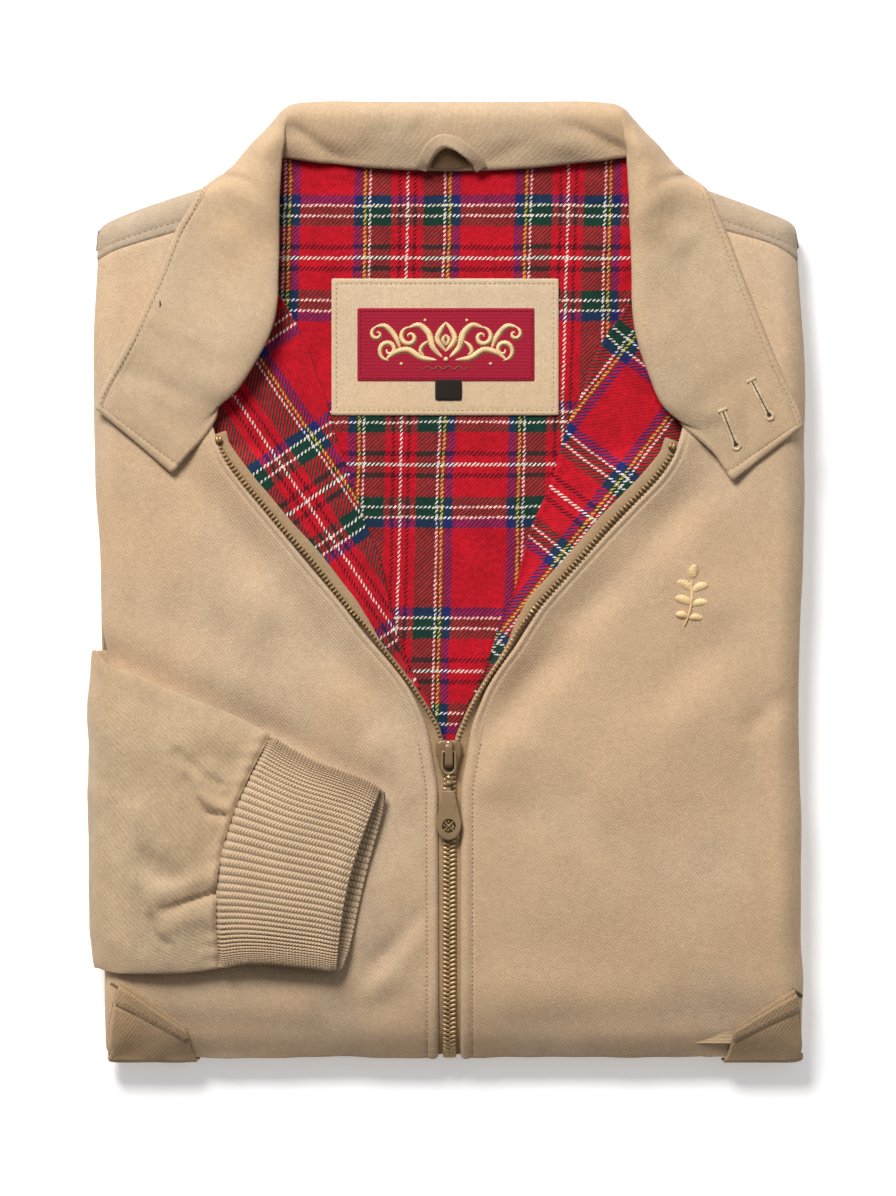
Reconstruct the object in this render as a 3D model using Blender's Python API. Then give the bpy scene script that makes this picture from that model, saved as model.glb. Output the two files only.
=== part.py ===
"""A harrington jacket, folded flat and lying on its back, built piece by piece.

The jacket lies on z = 0 with its collar towards +Y and the wearer's left towards +X.
Sizes and tables are in millimetres; finish_object() turns them into metres.
Every shell piece is a wall of cloth that follows one shared body surface, body_at().
"""
import math

import bmesh
import bpy
import numpy as np

for old in list(bpy.data.objects):
    bpy.data.objects.remove(old, do_unlink=True)

MM = 0.001

# ---------------------------------------------------------------- driving sizes, mm
BOTTOM_Y = -251.5          # the fold across the lower body
BODY_TOP = 31.5            # height of the folded stack
BODY_CROWN = 1.5           # extra height along the middle
SHOULDER_DROP = 7.0        # the stack is thinner at the shoulders
EDGE_HEIGHT = 13.5         # height of the widest point of every rolled edge
SIDE_ROLL = 14.0
BOTTOM_ROLL = 15.0
TOP_ROLL = 11.0
CORNER_POWER = 6.0         # squareness of the corners seen from above
TOP_SIDE_ANGLE = 65.0      # the upper cloth stops here on its side roll, degrees
LOW_SIDE_ANGLE = 68.0      # and the lower cloth here
BACK_RISE = 3.4            # the back lies on the folded collar near the neck
SHELL = 1.6                # wall of the shell cloth
LINING = 1.2               # wall of the lining
SEAM_GAP = 0.3
ZIP_X = 1.3                # the middle of the closed zip
CHAIN_WIDTH = 6.6
TAPE = 0.7
UNDER_HEM_Y = 20.0         # underside: the fronts end here, the waistband begins
UNDER_BACK_Y = 85.0        # underside: the waistband ends here, the back begins

LEFT_EDGE = [  # y, x of the body's outline at the wearer's right
    (-251.5, -180.5), (-240.0, -181.0), (-205.0, -181.6), (-120.0, -182.0), (-33.7, -182.9),
    (5.3, -183.7), (45.3, -186.3), (116.3, -187.9), (167.9, -185.8), (186.0, -184.6)]
RIGHT_EDGE = [  # y, x of the body's outline at the wearer's left
    (-251.5, 188.4), (-226.8, 188.6), (-210.0, 189.2), (-186.3, 187.8), (-104.7, 187.6),
    (-28.4, 186.8), (38.4, 188.9), (115.8, 189.4), (169.5, 186.3), (187.4, 184.6)]
SHOULDER_LINE = [  # x, y of the fold along the top
    (-190.0, 184.5), (-184.2, 187.0), (-163.7, 195.5), (-128.4, 207.3), (-86.0, 221.0),
    (0.0, 223.0), (92.0, 221.0), (134.6, 207.0), (165.0, 196.0), (184.2, 188.5), (190.0, 186.0)]
SHOULDER_SEAM = [  # x, y of the seam between front and back
    (-190.0, 168.5), (-170.0, 176.3), (-142.6, 184.5), (-90.0, 200.0), (90.0, 200.0),
    (145.3, 185.3), (171.0, 177.9), (190.0, 168.0)]
RIGHT_FRONT_EDGE = [  # y, x of the right front's zip edge and neck edge
    (-400.0, -4.9), (-112.0, -4.9), (-96.0, -7.4), (-80.0, -9.5), (-67.4, -13.5),
    (-52.6, -22.4), (-40.5, -33.4), (-25.8, -47.3), (-8.4, -60.8), (3.7, -73.9),
    (22.6, -88.0), (37.4, -101.4), (53.2, -114.4), (65.8, -122.9), (76.3, -126.9),
    (86.0, -127.5), (110.0, -124.0), (150.0, -112.0), (185.0, -104.0), (205.0, -100.0)]
LEFT_FRONT_EDGE = [  # y, x of the left front's zip edge and neck edge
    (-400.0, 7.5), (-112.0, 7.5), (-96.0, 9.8), (-81.0, 11.5), (-72.6, 13.2),
    (-59.5, 18.8), (-44.7, 28.8), (-28.4, 41.6), (-12.1, 55.3), (6.3, 71.6),
    (22.6, 87.3), (38.4, 103.3), (52.1, 117.0), (66.8, 126.3), (78.0, 128.0),
    (110.0, 126.0), (150.0, 118.0), (185.0, 111.0), (205.0, 107.0)]
RIGHT_TEETH = [  # x, y along the open row of teeth, from the slider up
    (-0.5, -90.0), (-4.7, -76.8), (-10.5, -67.4), (-18.4, -52.6), (-28.9, -40.5),
    (-42.6, -25.8), (-55.8, -8.4), (-69.5, 3.7), (-82.6, 20.6), (-96.3, 36.4),
    (-109.5, 53.2), (-117.4, 65.8), (-120.8, 75.5)]
LEFT_TEETH = [
    (3.1, -90.0), (5.6, -80.0), (9.0, -71.0), (13.7, -59.5), (23.2, -44.7),
    (36.3, -28.4), (50.0, -12.1), (66.3, 6.3), (82.1, 22.6), (98.0, 38.4),
    (111.2, 52.1), (118.0, 62.5), (121.6, 71.0)]
LINING_EDGE_RIGHT = [  # y, x of the right front lining's inner fold
    (-81.0, -3.0), (-70.0, -7.5), (-55.3, -15.5), (-35.3, -23.7), (-15.3, -29.5),
    (11.6, -36.0), (30.5, -43.5), (56.3, -52.0), (80.0, -60.5), (95.3, -64.5),
    (132.1, -78.4), (149.5, -88.0), (156.0, -93.0)]
LINING_EDGE_LEFT = [
    (-81.0, 6.0), (-70.0, 9.5), (-48.4, 20.0), (-23.2, 28.0), (-5.8, 35.3),
    (25.3, 43.8), (52.1, 55.3), (83.2, 64.5), (96.0, 70.5), (120.0, 79.0),
    (140.0, 92.0), (156.0, 101.0)]
LINING_HEIGHT = [  # y, z of the back lining, which sinks into the neck
    (-90.0, 28.0), (-70.0, 27.2), (-40.0, 25.5), (20.0, 23.0), (80.0, 21.0),
    (140.0, 19.6), (185.0, 18.6), (205.0, 18.9), (224.0, 19.2)]
NECK_SEAM = [  # x, y of the seam between collar and back lining
    (-88.4, 222.5), (-74.7, 221.0), (-55.8, 218.3), (-28.9, 216.4), (3.0, 215.4),
    (36.3, 216.4), (63.7, 219.0), (83.7, 221.4), (96.3, 222.8)]

# ---------------------------------------------------------------- number helpers


def smooth_step(value):
    value = min(1.0, max(0.0, value))
    return value * value * (3.0 - 2.0 * value)


def mix(first, second, share):
    return first + (second - first) * share


def look_up(table, key):
    """The table's value at key, on a smooth curve through its rows."""
    if key <= table[0][0]:
        return table[0][1]
    if key >= table[-1][0]:
        return table[-1][1]
    index = 0
    while table[index + 1][0] < key:
        index += 1
    x0, y0 = table[index]
    x1, y1 = table[index + 1]
    step = (y1 - y0) / (x1 - x0)
    slope0 = step
    slope1 = step
    if index > 0:
        slope0 = (y1 - table[index - 1][1]) / (x1 - table[index - 1][0])
    if index + 2 < len(table):
        slope1 = (table[index + 2][1] - y0) / (table[index + 2][0] - x0)
    share = (key - x0) / (x1 - x0)
    width = x1 - x0
    return ((1 + 2 * share) * (1 - share) ** 2 * y0 + share * (1 - share) ** 2 * width * slope0
            + share * share * (3 - 2 * share) * y1 + share * share * (share - 1) * width * slope1)


def curve_through(points, count):
    """count points along a Catmull-Rom curve through the control points."""
    points = [np.array(point, dtype=float) for point in points]
    padded = [2 * points[0] - points[1]] + points + [2 * points[-1] - points[-2]]
    result = []
    for step in range(count):
        place = step / (count - 1) * (len(points) - 1)
        index = min(int(place), len(points) - 2)
        t = place - index
        a, b, c, d = padded[index:index + 4]
        result.append(0.5 * (2 * b + (c - a) * t + (2 * a - 5 * b + 4 * c - d) * t * t
                             + (3 * b - a - 3 * c + d) * t ** 3))
    return result


def spread(start, end, count):
    return [mix(start, end, index / (count - 1)) for index in range(count)]


# ---------------------------------------------------------------- the body surface


def body_top(x, y):
    crown = BODY_CROWN * (1.0 - (x / 190.0) ** 2)
    return BODY_TOP + crown - SHOULDER_DROP * smooth_step((y - 110.0) / 95.0)


def body_bottom(y):
    return BACK_RISE * smooth_step((y - 186.0) / 13.0)


def body_at(cx, cy):
    """A point on the jacket's outside, where cx and cy run over the cloth itself.

    On the flat, cx and cy are plan coordinates. Past the start of a rolled edge they
    go on as arc length, so that a large negative cy is on the underside.
    """
    under = False
    side_y = 0.0
    y = cy
    low_start = BOTTOM_Y + BOTTOM_ROLL
    high_start = look_up(SHOULDER_LINE, cx) - TOP_ROLL
    if cy < low_start:
        arc = low_start - cy
        if arc <= math.pi * BOTTOM_ROLL:
            side_y = math.sin(arc / BOTTOM_ROLL)
            under = arc > math.pi * BOTTOM_ROLL / 2
            y = low_start
        else:
            under = True
            y = low_start + arc - math.pi * BOTTOM_ROLL
    elif cy > high_start:
        arc = cy - high_start
        if arc <= math.pi * TOP_ROLL:
            side_y = math.sin(arc / TOP_ROLL)
            under = arc > math.pi * TOP_ROLL / 2
            y = high_start
        else:
            under = True
            y = high_start - (arc - math.pi * TOP_ROLL)
    at_top = cy > 0
    left = look_up(LEFT_EDGE, y) + SIDE_ROLL
    right = look_up(RIGHT_EDGE, y) - SIDE_ROLL
    side_x = 0.0
    x = cx
    if cx < left:
        side_x = math.sin(min((left - cx) / SIDE_ROLL, math.pi / 2))
        x = left
    elif cx > right:
        side_x = math.sin(min((cx - right) / SIDE_ROLL, math.pi / 2))
        x = right
    strong = max(side_x, side_y)
    norm = (side_x ** CORNER_POWER + side_y ** CORNER_POWER) ** (1.0 / CORNER_POWER)
    squash = strong / norm if norm > 0 else 1.0
    if side_y > 0:
        reach = TOP_ROLL if at_top else -BOTTOM_ROLL
        y += reach * side_y * squash
    if side_x > 0:
        x += (SIDE_ROLL if cx > 0 else -SIDE_ROLL) * side_x * squash
    drop = math.sqrt(max(0.0, 1.0 - strong * strong))
    if under:
        z = EDGE_HEIGHT - (EDGE_HEIGHT - body_bottom(y)) * drop
    else:
        z = EDGE_HEIGHT + (body_top(x, y) - EDGE_HEIGHT) * drop
    return np.array([x, y, z])


def under_y(y):
    """The cloth coordinate of a point on the underside of the lower body."""
    start = BOTTOM_Y + BOTTOM_ROLL
    return start - math.pi * BOTTOM_ROLL - (y - start)


# ---------------------------------------------------------------- meshes and materials


def material(name, colour, roughness, metallic):
    made = bpy.data.materials.get(name)
    if made:
        return made
    made = bpy.data.materials.new(name)
    made.use_nodes = True
    shader = made.node_tree.nodes["Principled BSDF"]
    shader.inputs["Base Color"].default_value = (*colour, 1.0)
    shader.inputs["Roughness"].default_value = roughness
    shader.inputs["Metallic"].default_value = metallic
    return made


KHAKI = ("khaki_twill", (0.56, 0.40, 0.26), 0.9, 0.0)
RIB = ("rib_knit", (0.52, 0.36, 0.22), 0.95, 0.0)
TARTAN = ("tartan", (0.50, 0.02, 0.03), 0.9, 0.0)
LAYERS = ("hidden_layers", (0.45, 0.31, 0.19), 0.95, 0.0)
BRASS = ("brass", (0.60, 0.42, 0.18), 0.35, 1.0)
PAINTED = ("painted_metal", (0.27, 0.19, 0.11), 0.5, 0.3)
LABEL_RED = ("label_red", (0.30, 0.02, 0.03), 0.8, 0.0)
TAB_BLACK = ("tab_black", (0.02, 0.02, 0.02), 0.8, 0.0)
GOLD_THREAD = ("gold_thread", (0.62, 0.40, 0.16), 0.6, 0.0)


def finish_object(name, bm, finish, origin=(0.0, 0.0, 0.0), smooth=True):
    """Turn a millimetre bmesh into an object in metres, its origin at origin (mm)."""
    bmesh.ops.recalc_face_normals(bm, faces=bm.faces)
    offset = np.array(origin)
    for vert in bm.verts:
        vert.co = (np.array(vert.co) - offset) * MM
    mesh = bpy.data.meshes.new(name)
    bm.to_mesh(mesh)
    bm.free()
    if smooth:
        mesh.shade_smooth()
        mesh.set_sharp_from_angle(angle=math.radians(40))
    mesh.materials.append(material(*finish))
    made = bpy.data.objects.new(name, mesh)
    made.location = offset * MM
    bpy.context.scene.collection.objects.link(made)
    return made


def grid_normals(grid):
    """Unit normals of a grid of points, by central differences."""
    along = np.gradient(grid, axis=0)
    across = np.gradient(grid, axis=1)
    normals = np.cross(across, along)
    length = np.linalg.norm(normals, axis=2, keepdims=True)
    return normals / np.maximum(length, 1e-9)


def cloth_bmesh(grid, lift_out, lift_in, flip=False, keep=None):
    """A closed wall of cloth between two offsets of a grid of points.

    A lift is one number, or a list with a number for each row. keep(row, column) says
    which cells of the grid are cloth.
    """
    grid = np.array(grid, dtype=float)
    normals = grid_normals(grid)
    if flip:
        normals = -normals
    rows, columns = grid.shape[:2]
    cells = [(r, c) for r in range(rows - 1) for c in range(columns - 1)
             if keep is None or keep(r, c)]
    bm = bmesh.new()
    layers = []
    for lift in (lift_out, lift_in):
        lifts = np.broadcast_to(np.array(lift, dtype=float), rows)
        verts = {}
        for r, c in cells:
            for corner in ((r, c), (r + 1, c), (r + 1, c + 1), (r, c + 1)):
                if corner not in verts:
                    verts[corner] = bm.verts.new(grid[corner] + normals[corner] * lifts[corner[0]])
        layers.append(verts)
    outer, inner = layers
    edges = {}
    for r, c in cells:
        ring = [(r, c), (r + 1, c), (r + 1, c + 1), (r, c + 1)]
        bm.faces.new([outer[corner] for corner in ring])
        bm.faces.new([inner[corner] for corner in reversed(ring)])
        for a, b in zip(ring, ring[1:] + ring[:1]):
            if (b, a) in edges:
                del edges[(b, a)]
            else:
                edges[(a, b)] = True
    for a, b in edges:
        bm.faces.new([outer[b], outer[a], inner[a], inner[b]])
    return bm


def cloth_piece(name, grid, lift_out, lift_in, finish, flip=False, keep=None):
    return finish_object(name, cloth_bmesh(grid, lift_out, lift_in, flip, keep), finish)


def loft_bmesh(rings):
    """A solid skin over closed rings of points, capped at both ends."""
    bm = bmesh.new()
    verts = [[bm.verts.new(point) for point in ring] for ring in rings]
    count = len(rings[0])
    for lower, upper in zip(verts, verts[1:]):
        for index in range(count):
            follow = (index + 1) % count
            bm.faces.new([lower[index], lower[follow], upper[follow], upper[index]])
    bm.faces.new(list(reversed(verts[0])))
    bm.faces.new(verts[-1])
    return bm


def tube_bmesh(outer_rings, inner_rings):
    """An open tube: outer and inner skins, joined at both ends."""
    bm = bmesh.new()
    outer = [[bm.verts.new(point) for point in ring] for ring in outer_rings]
    inner = [[bm.verts.new(point) for point in ring] for ring in inner_rings]
    count = len(outer[0])
    for skin in (outer, inner):
        for lower, upper in zip(skin, skin[1:]):
            for index in range(count):
                follow = (index + 1) % count
                ring = [lower[index], lower[follow], upper[follow], upper[index]]
                bm.faces.new(ring if skin is outer else list(reversed(ring)))
    for index in range(count):
        follow = (index + 1) % count
        bm.faces.new([outer[0][follow], outer[0][index], inner[0][index], inner[0][follow]])
        bm.faces.new([outer[-1][index], outer[-1][follow], inner[-1][follow], inner[-1][index]])
    return bm


# ---------------------------------------------------------------- fronts


def front_rows():
    """Cloth coordinate of each row, from the shoulder to the underside."""
    rows = spread(185.0, BOTTOM_Y + BOTTOM_ROLL, 21)
    arc = math.pi * BOTTOM_ROLL
    rows += [BOTTOM_Y + BOTTOM_ROLL - arc * share for share in (0.17, 0.34, 0.5, 0.66, 0.83, 1.0)]
    rows += [under_y(y) for y in (-180.0, -110.0, -45.0, UNDER_HEM_Y)]
    return rows


def seam_shift(cx, cy):
    """How far a row moves so that the top row follows the slanted shoulder seam."""
    share = smooth_step((cy - 90.0) / 95.0)
    return (look_up(SHOULDER_SEAM, cx) - 185.0) * share


def front_grid(edge_table, side, columns):
    """Points from the zip edge to the side roll; side is -1 for the right front."""
    outline = LEFT_EDGE if side < 0 else RIGHT_EDGE
    grid = []
    for cy in front_rows():
        inner = look_up(edge_table, cy)
        on_under = cy < BOTTOM_Y + BOTTOM_ROLL - math.pi * BOTTOM_ROLL / 2
        plan_y = min(max(cy, BOTTOM_Y), 186.0)
        if on_under:
            plan_y = max(BOTTOM_Y, 2 * (BOTTOM_Y + BOTTOM_ROLL) - math.pi * BOTTOM_ROLL - cy)
        limit = LOW_SIDE_ANGLE if on_under else TOP_SIDE_ANGLE
        roll_start = look_up(outline, plan_y) - side * SIDE_ROLL
        outer = roll_start + side * SIDE_ROLL * math.radians(limit)
        flat = columns - 4
        stations = spread(inner, roll_start, flat) + spread(roll_start, outer, 5)[1:]
        row = []
        for cx in stations:
            shifted = cy + (seam_shift(cx, cy) if cy > 90.0 else 0.0)
            row.append(body_at(cx, shifted))
        grid.append(row)
    return grid


def build_fronts():
    cloth_piece("front_right", front_grid(RIGHT_FRONT_EDGE, -1, 13), 0.0, -SHELL, KHAKI)
    cloth_piece("front_left", front_grid(LEFT_FRONT_EDGE, 1, 13), 0.0, -SHELL, KHAKI, flip=True)


# ---------------------------------------------------------------- back and waistband


BACK_NECK_RIGHT = -100.0   # the shoulder strips stop here at the neck
BACK_NECK_LEFT = 107.0


def build_back():
    """The back on the underside, rolled over the shoulders down to the front seams."""
    columns = [-1.0, -0.75, -0.5, -0.25]
    flat = spread(-172.0, BACK_NECK_RIGHT, 5) + spread(-60.0, 60.0, 4)
    flat += spread(BACK_NECK_LEFT, 172.0, 5)
    roll_arcs = [math.radians(LOW_SIDE_ANGLE) * SIDE_ROLL * -share for share in columns]
    shares = (0.0, 0.12, 0.25, 0.38, 0.5, 0.62, 0.75, 0.88, 1.0)
    rows = ["seam", "start"] + list(shares[1:]) + [185.0, 160.0, 120.0, UNDER_BACK_Y + SEAM_GAP]
    grid = []
    for row_key in rows:
        row = []
        stations = [(-1, arc) for arc in roll_arcs] + [(0, x) for x in flat]
        stations += [(1, arc) for arc in reversed(roll_arcs)]
        for side, value in stations:
            plan_y = 180.0 if isinstance(row_key, str) or row_key <= 1.0 else row_key
            outline = LEFT_EDGE if side < 0 else RIGHT_EDGE
            edge = look_up(outline, min(plan_y, 186.0))
            limit = 1.0
            if isinstance(row_key, str) or row_key <= 0.5:
                limit = TOP_SIDE_ANGLE / LOW_SIDE_ANGLE
            cx = value if side == 0 else edge - side * SIDE_ROLL + side * value * limit
            start = look_up(SHOULDER_LINE, cx) - TOP_ROLL
            if row_key == "seam":
                cy = min(look_up(SHOULDER_SEAM, cx) + SEAM_GAP, start - 1.5)
            elif row_key == "start":
                cy = start
            elif row_key <= 1.0:
                cy = start + math.pi * TOP_ROLL * row_key
            else:
                cy = start + math.pi * TOP_ROLL + (start - row_key)
            row.append(body_at(cx, cy))
        grid.append(row)
    neck_first = 4 + 4
    neck_last = neck_first + 4

    def is_cloth(r, c):
        over_the_top = r < 5
        return not (over_the_top and neck_first <= c <= neck_last)

    cloth_piece("back", grid, 0.0, -SHELL, KHAKI, keep=is_cloth)


def build_waistband():
    """The ribbed waistband, folded up on the underside."""
    grid = []
    for y in (UNDER_HEM_Y + SEAM_GAP, 42.0, 63.0, UNDER_BACK_Y):
        left = look_up(LEFT_EDGE, y) + SIDE_ROLL
        right = look_up(RIGHT_EDGE, y) - SIDE_ROLL
        arc = math.radians(LOW_SIDE_ANGLE) * SIDE_ROLL
        stations = spread(left - arc, left, 5) + spread(left, right, 7)[1:-1] + spread(right, right + arc, 5)
        grid.append([body_at(cx, under_y(y)) for cx in stations])
    cloth_piece("waistband", grid, 0.0, -1.9, RIB, flip=True)


# ---------------------------------------------------------------- linings


def lining_back_sides(y):
    """The back lining runs on under the front linings, less so near the slider."""
    right = look_up(LINING_EDGE_RIGHT, y)
    left = look_up(LINING_EDGE_LEFT, y)
    tuck = mix(1.0, 10.0, smooth_step((y + 75.0) / 70.0))
    return max(right - tuck, -99.0), min(left + tuck, 104.0)


def build_lining_back():
    grid = []
    for share in spread(0.0, 1.0, 15):
        row = []
        for across in spread(0.0, 1.0, 11):
            y = mix(-68.0, 216.0, share)
            right, left = lining_back_sides(y)
            x = mix(right, left, across)
            y += (look_up(NECK_SEAM, x) - 216.0 + 3.5) * smooth_step((share - 0.8) / 0.2)
            row.append((x, y, look_up(LINING_HEIGHT, y)))
        grid.append(row)
    cloth_piece("lining_back", grid, 0.0, -LINING, TARTAN)


def teeth_x(table, y):
    return float(np.interp(y, [row[1] for row in table], [row[0] for row in table]))


def front_lining_outer(side, y):
    """The lining's edge along the zip tape, and above it along the collar's seam."""
    if side < 0:
        along_zip = teeth_x(RIGHT_TEETH, y) + 7.4
        under_collar = look_up(RIGHT_FRONT_EDGE, y) + 8.0
        return mix(along_zip, under_collar, smooth_step((y - 66.0) / 20.0))
    along_zip = teeth_x(LEFT_TEETH, y) - 7.4
    under_collar = look_up(LEFT_FRONT_EDGE, y) - 8.0
    return mix(along_zip, under_collar, smooth_step((y - 62.0) / 20.0))


def front_lining_point(side, y, share):
    """share runs from the zip at 0 to the inner fold at 1."""
    fold_table = LINING_EDGE_RIGHT if side < 0 else LINING_EDGE_LEFT
    outer = front_lining_outer(side, y)
    x = mix(outer, look_up(fold_table, y), share)
    high = body_top(x, y) + 0.6 - 5.0 * smooth_step((y - 76.0) / 18.0)
    low = look_up(LINING_HEIGHT, y) + 2.4
    return np.array([x, y, mix(high, low, smooth_step(share))])


def build_lining_fronts():
    for name, side in (("lining_front_right", -1), ("lining_front_left", 1)):
        grid = []
        for y in spread(-24.0, 152.0, 14):
            row = [front_lining_point(side, y, share) for share in (0.0, 0.2, 0.4, 0.6, 0.8, 0.93, 1.0)]
            grid.append(row)
        cloth_piece(name, grid, 0.0, -LINING, TARTAN, flip=side > 0)


# ---------------------------------------------------------------- hidden layers


def cover_underside(x, y):
    """The lowest underside of the cloth that lies over the hidden layers."""
    lowest = body_top(x, y) - 3.0
    right_edge = look_up(RIGHT_FRONT_EDGE, y)
    left_edge = look_up(LEFT_FRONT_EDGE, y)
    if y > -95.0 and right_edge < x < left_edge:
        back_right, back_left = lining_back_sides(max(y, -68.0))
        if back_right - 1.0 < x < back_left + 1.0:
            lowest = min(lowest, look_up(LINING_HEIGHT, y) - LINING)
        for side, table in ((-1, LINING_EDGE_RIGHT), (1, LINING_EDGE_LEFT)):
            outer = front_lining_outer(side, y)
            fold = look_up(table, y)
            share = (x - outer) / (fold - outer) if fold != outer else 0.0
            if -0.3 < share < 1.1 and y < 156.0:
                share = min(1.0, max(0.0, share))
                lowest = min(lowest, front_lining_point(side, y, share)[2] - LINING)
        if y > 150.0:
            lowest = min(lowest, look_up(LINING_HEIGHT, y) - LINING)
    return lowest


def layers_top(x, y):
    reach = 13.0
    heights = []
    for dx in (-reach, 0.0, reach):
        for dy in (-reach, 0.0, reach):
            heights.append(cover_underside(x + dx, y + dy))
    return min(heights) - 1.0


SLEEVE_SLOT = (-212.0, -28.0)   # y range where the right sleeve leaves the stack
LAYER_LEVELS = [  # z, inset from the outline where the folded layers show
    (21.0, 6.0), (19.4, 3.2), (18.0, 1.6), (16.6, 3.4), (15.2, 1.4), (13.8, 3.4),
    (12.4, 1.4), (11.0, 4.2), (8.5, 7.0), (4.2, 11.0), (2.2, 14.5)]


def build_folded_layers():
    """One solid for everything the fold hides, layered along both sides."""
    rows = spread(BOTTOM_Y + 17.0, 210.0, 22)
    columns = 17
    plan = []
    for share_y in rows:
        y = share_y
        left = look_up(LEFT_EDGE, y) + 13.0
        right = look_up(RIGHT_EDGE, y) - 13.0
        if SLEEVE_SLOT[0] < y < SLEEVE_SLOT[1]:
            left += 3.0
        row = []
        for x in spread(left, right, columns):
            top_limit = look_up(SHOULDER_LINE, x) - 13.5
            row.append((x, y - max(0.0, y - top_limit) * smooth_step((y - 120.0) / 90.0)))
        plan.append(row)
    top_y = rows[-1]
    for column in range(columns):
        x = plan[-1][column][0]
        limit = look_up(SHOULDER_LINE, x) - 13.5
        for row_index, y in enumerate(rows):
            if y > 120.0:
                share = (y - 120.0) / (top_y - 120.0)
                plan[row_index][column] = (plan[row_index][column][0], mix(120.0, limit, share))
    bm = bmesh.new()
    upper = [[bm.verts.new((x, y, layers_top(x, y))) for x, y in row] for row in plan]
    lower = [[bm.verts.new((x, y, body_bottom(y + 8.0) + 2.6)) for x, y in row] for row in plan]
    for skin, turned in ((upper, False), (lower, True)):
        for r in range(len(skin) - 1):
            for c in range(columns - 1):
                ring = [skin[r][c], skin[r][c + 1], skin[r + 1][c + 1], skin[r + 1][c]]
                bm.faces.new(list(reversed(ring)) if turned else ring)
    border = [(0, c) for c in range(columns)]
    border += [(r, columns - 1) for r in range(1, len(rows))]
    border += [(len(rows) - 1, c) for c in range(columns - 2, -1, -1)]
    border += [(r, 0) for r in range(len(rows) - 2, 0, -1)]
    rings = [[upper[r][c] for r, c in border]]
    for z, inset in LAYER_LEVELS:
        ring = []
        for r, c in border:
            x, y = plan[r][c]
            wrapped = max(1.0 - smooth_step((y - BOTTOM_Y - 17.0) / 26.0), smooth_step((y - 150.0) / 14.0))
            outward = 13.0 - inset - 3.4 * wrapped
            if c not in (0, columns - 1):
                outward = max(0.0, 9.0 - inset) * 0.6
                shift = (0.0, -outward if r == 0 else outward * 0.5)
            else:
                if c == 0 and SLEEVE_SLOT[0] < y < SLEEVE_SLOT[1]:
                    outward = min(outward, 5.0)
                sign = -1.0 if c == 0 else 1.0
                shift = (sign * max(outward, 0.0), 0.0)
            floor = body_bottom(y + 8.0) + 2.6 + 0.3
            ceiling = layers_top(x, y) - 0.5
            ring.append(bm.verts.new((x + shift[0], y + shift[1], 0.0)))
            level = (z - 2.2) / (21.0 - 2.2)
            ring[-1].co.z = mix(floor, min(ceiling, 21.0), level)
        rings.append(ring)
    rings.append([lower[r][c] for r, c in border])
    for first, second in zip(rings, rings[1:]):
        for index in range(len(border)):
            follow = (index + 1) % len(border)
            bm.faces.new([first[index], second[index], second[follow], first[follow]])
    finish_object("folded_layers", bm, LAYERS)


# ---------------------------------------------------------------- collar


COLLAR_WALL = 2.4
LEAF_RIGHT = [  # outer x, y; roll x, y; seam x, y; curl: 0 where the leaf is a plain flap
    (-183.2, 90.5, -144.7, 57.9, -144.7, 57.9, 0.0),
    (-181.8, 97.0, -136.5, 67.5, -136.5, 67.5, 0.0),
    (-176.5, 108.0, -127.5, 77.5, -127.5, 77.5, 0.1),
    (-169.5, 121.0, -118.5, 88.5, -121.5, 91.0, 0.6),
    (-163.0, 134.0, -109.5, 101.5, -120.5, 104.0, 0.95),
    (-157.4, 146.5, -101.0, 115.5, -119.0, 117.0, 1.0),
    (-151.5, 160.0, -94.0, 130.0, -114.5, 131.0, 1.0),
    (-146.5, 173.0, -90.3, 145.0, -110.5, 146.0, 1.0),
    (-141.5, 185.0, -89.5, 161.0, -107.0, 161.0, 1.0),
    (-136.0, 195.0, -89.3, 178.0, -103.5, 177.0, 1.0)]
LEAF_LEFT = [
    (185.8, 81.5, 150.5, 53.7, 150.5, 53.7, 0.0),
    (184.5, 88.0, 141.5, 67.0, 141.5, 67.0, 0.0),
    (179.5, 98.5, 132.0, 76.0, 132.0, 76.0, 0.1),
    (173.5, 112.0, 120.5, 82.0, 123.0, 87.0, 0.6),
    (167.0, 128.0, 113.0, 93.0, 122.5, 100.0, 0.95),
    (161.5, 142.0, 106.5, 109.0, 121.0, 113.0, 1.0),
    (155.5, 157.5, 101.0, 127.0, 119.0, 128.0, 1.0),
    (150.5, 171.0, 98.3, 143.0, 117.5, 144.0, 1.0),
    (145.3, 185.0, 97.7, 160.0, 114.5, 160.0, 1.0),
    (141.0, 194.5, 97.7, 178.0, 110.5, 177.0, 1.0)]
TURN_ROWS = [  # how the collar turns over the shoulder: outer, leaf, crest, roll, stand, seam
    ((-133.8, 206.5, 24.0), (-117.0, 206.0, 30.0), (-98.0, 196.0, 36.5), (-89.3, 192.0, 31.5),
     (-94.5, 191.5, 27.3), (-100.5, 191.0, 25.6)),
    ((-127.0, 212.8, 12.0), (-111.5, 212.5, 29.0), (-96.5, 205.5, 35.5), (-89.3, 202.5, 31.0),
     (-91.8, 203.0, 26.6), (-96.0, 203.0, 23.8)),
    ((-118.5, 215.0, 1.8), (-117.0, 218.5, 18.0), (-98.5, 213.5, 34.0), (-89.1, 210.0, 30.5),
     (-90.6, 211.0, 26.3), (-93.5, 211.0, 23.2)),
    ((-108.0, 210.0, 1.3), (-117.5, 220.0, 12.5), (-99.0, 220.5, 32.0), (-88.9, 217.0, 30.0),
     (-89.7, 217.0, 26.0), (-92.0, 217.5, 23.0)),
    ((-93.0, 210.0, 1.3), (-104.0, 233.0, 12.0), (-94.5, 232.0, 30.0), (-87.3, 231.0, 30.0),
     (-87.5, 227.0, 26.5), (-88.5, 223.5, 22.8)),
    ((-79.0, 210.0, 1.3), (-88.0, 240.0, 3.2), (-89.5, 249.3, 14.0), (-84.8, 245.5, 27.5),
     (-85.0, 235.0, 27.0), (-85.5, 223.8, 22.6))]
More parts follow.
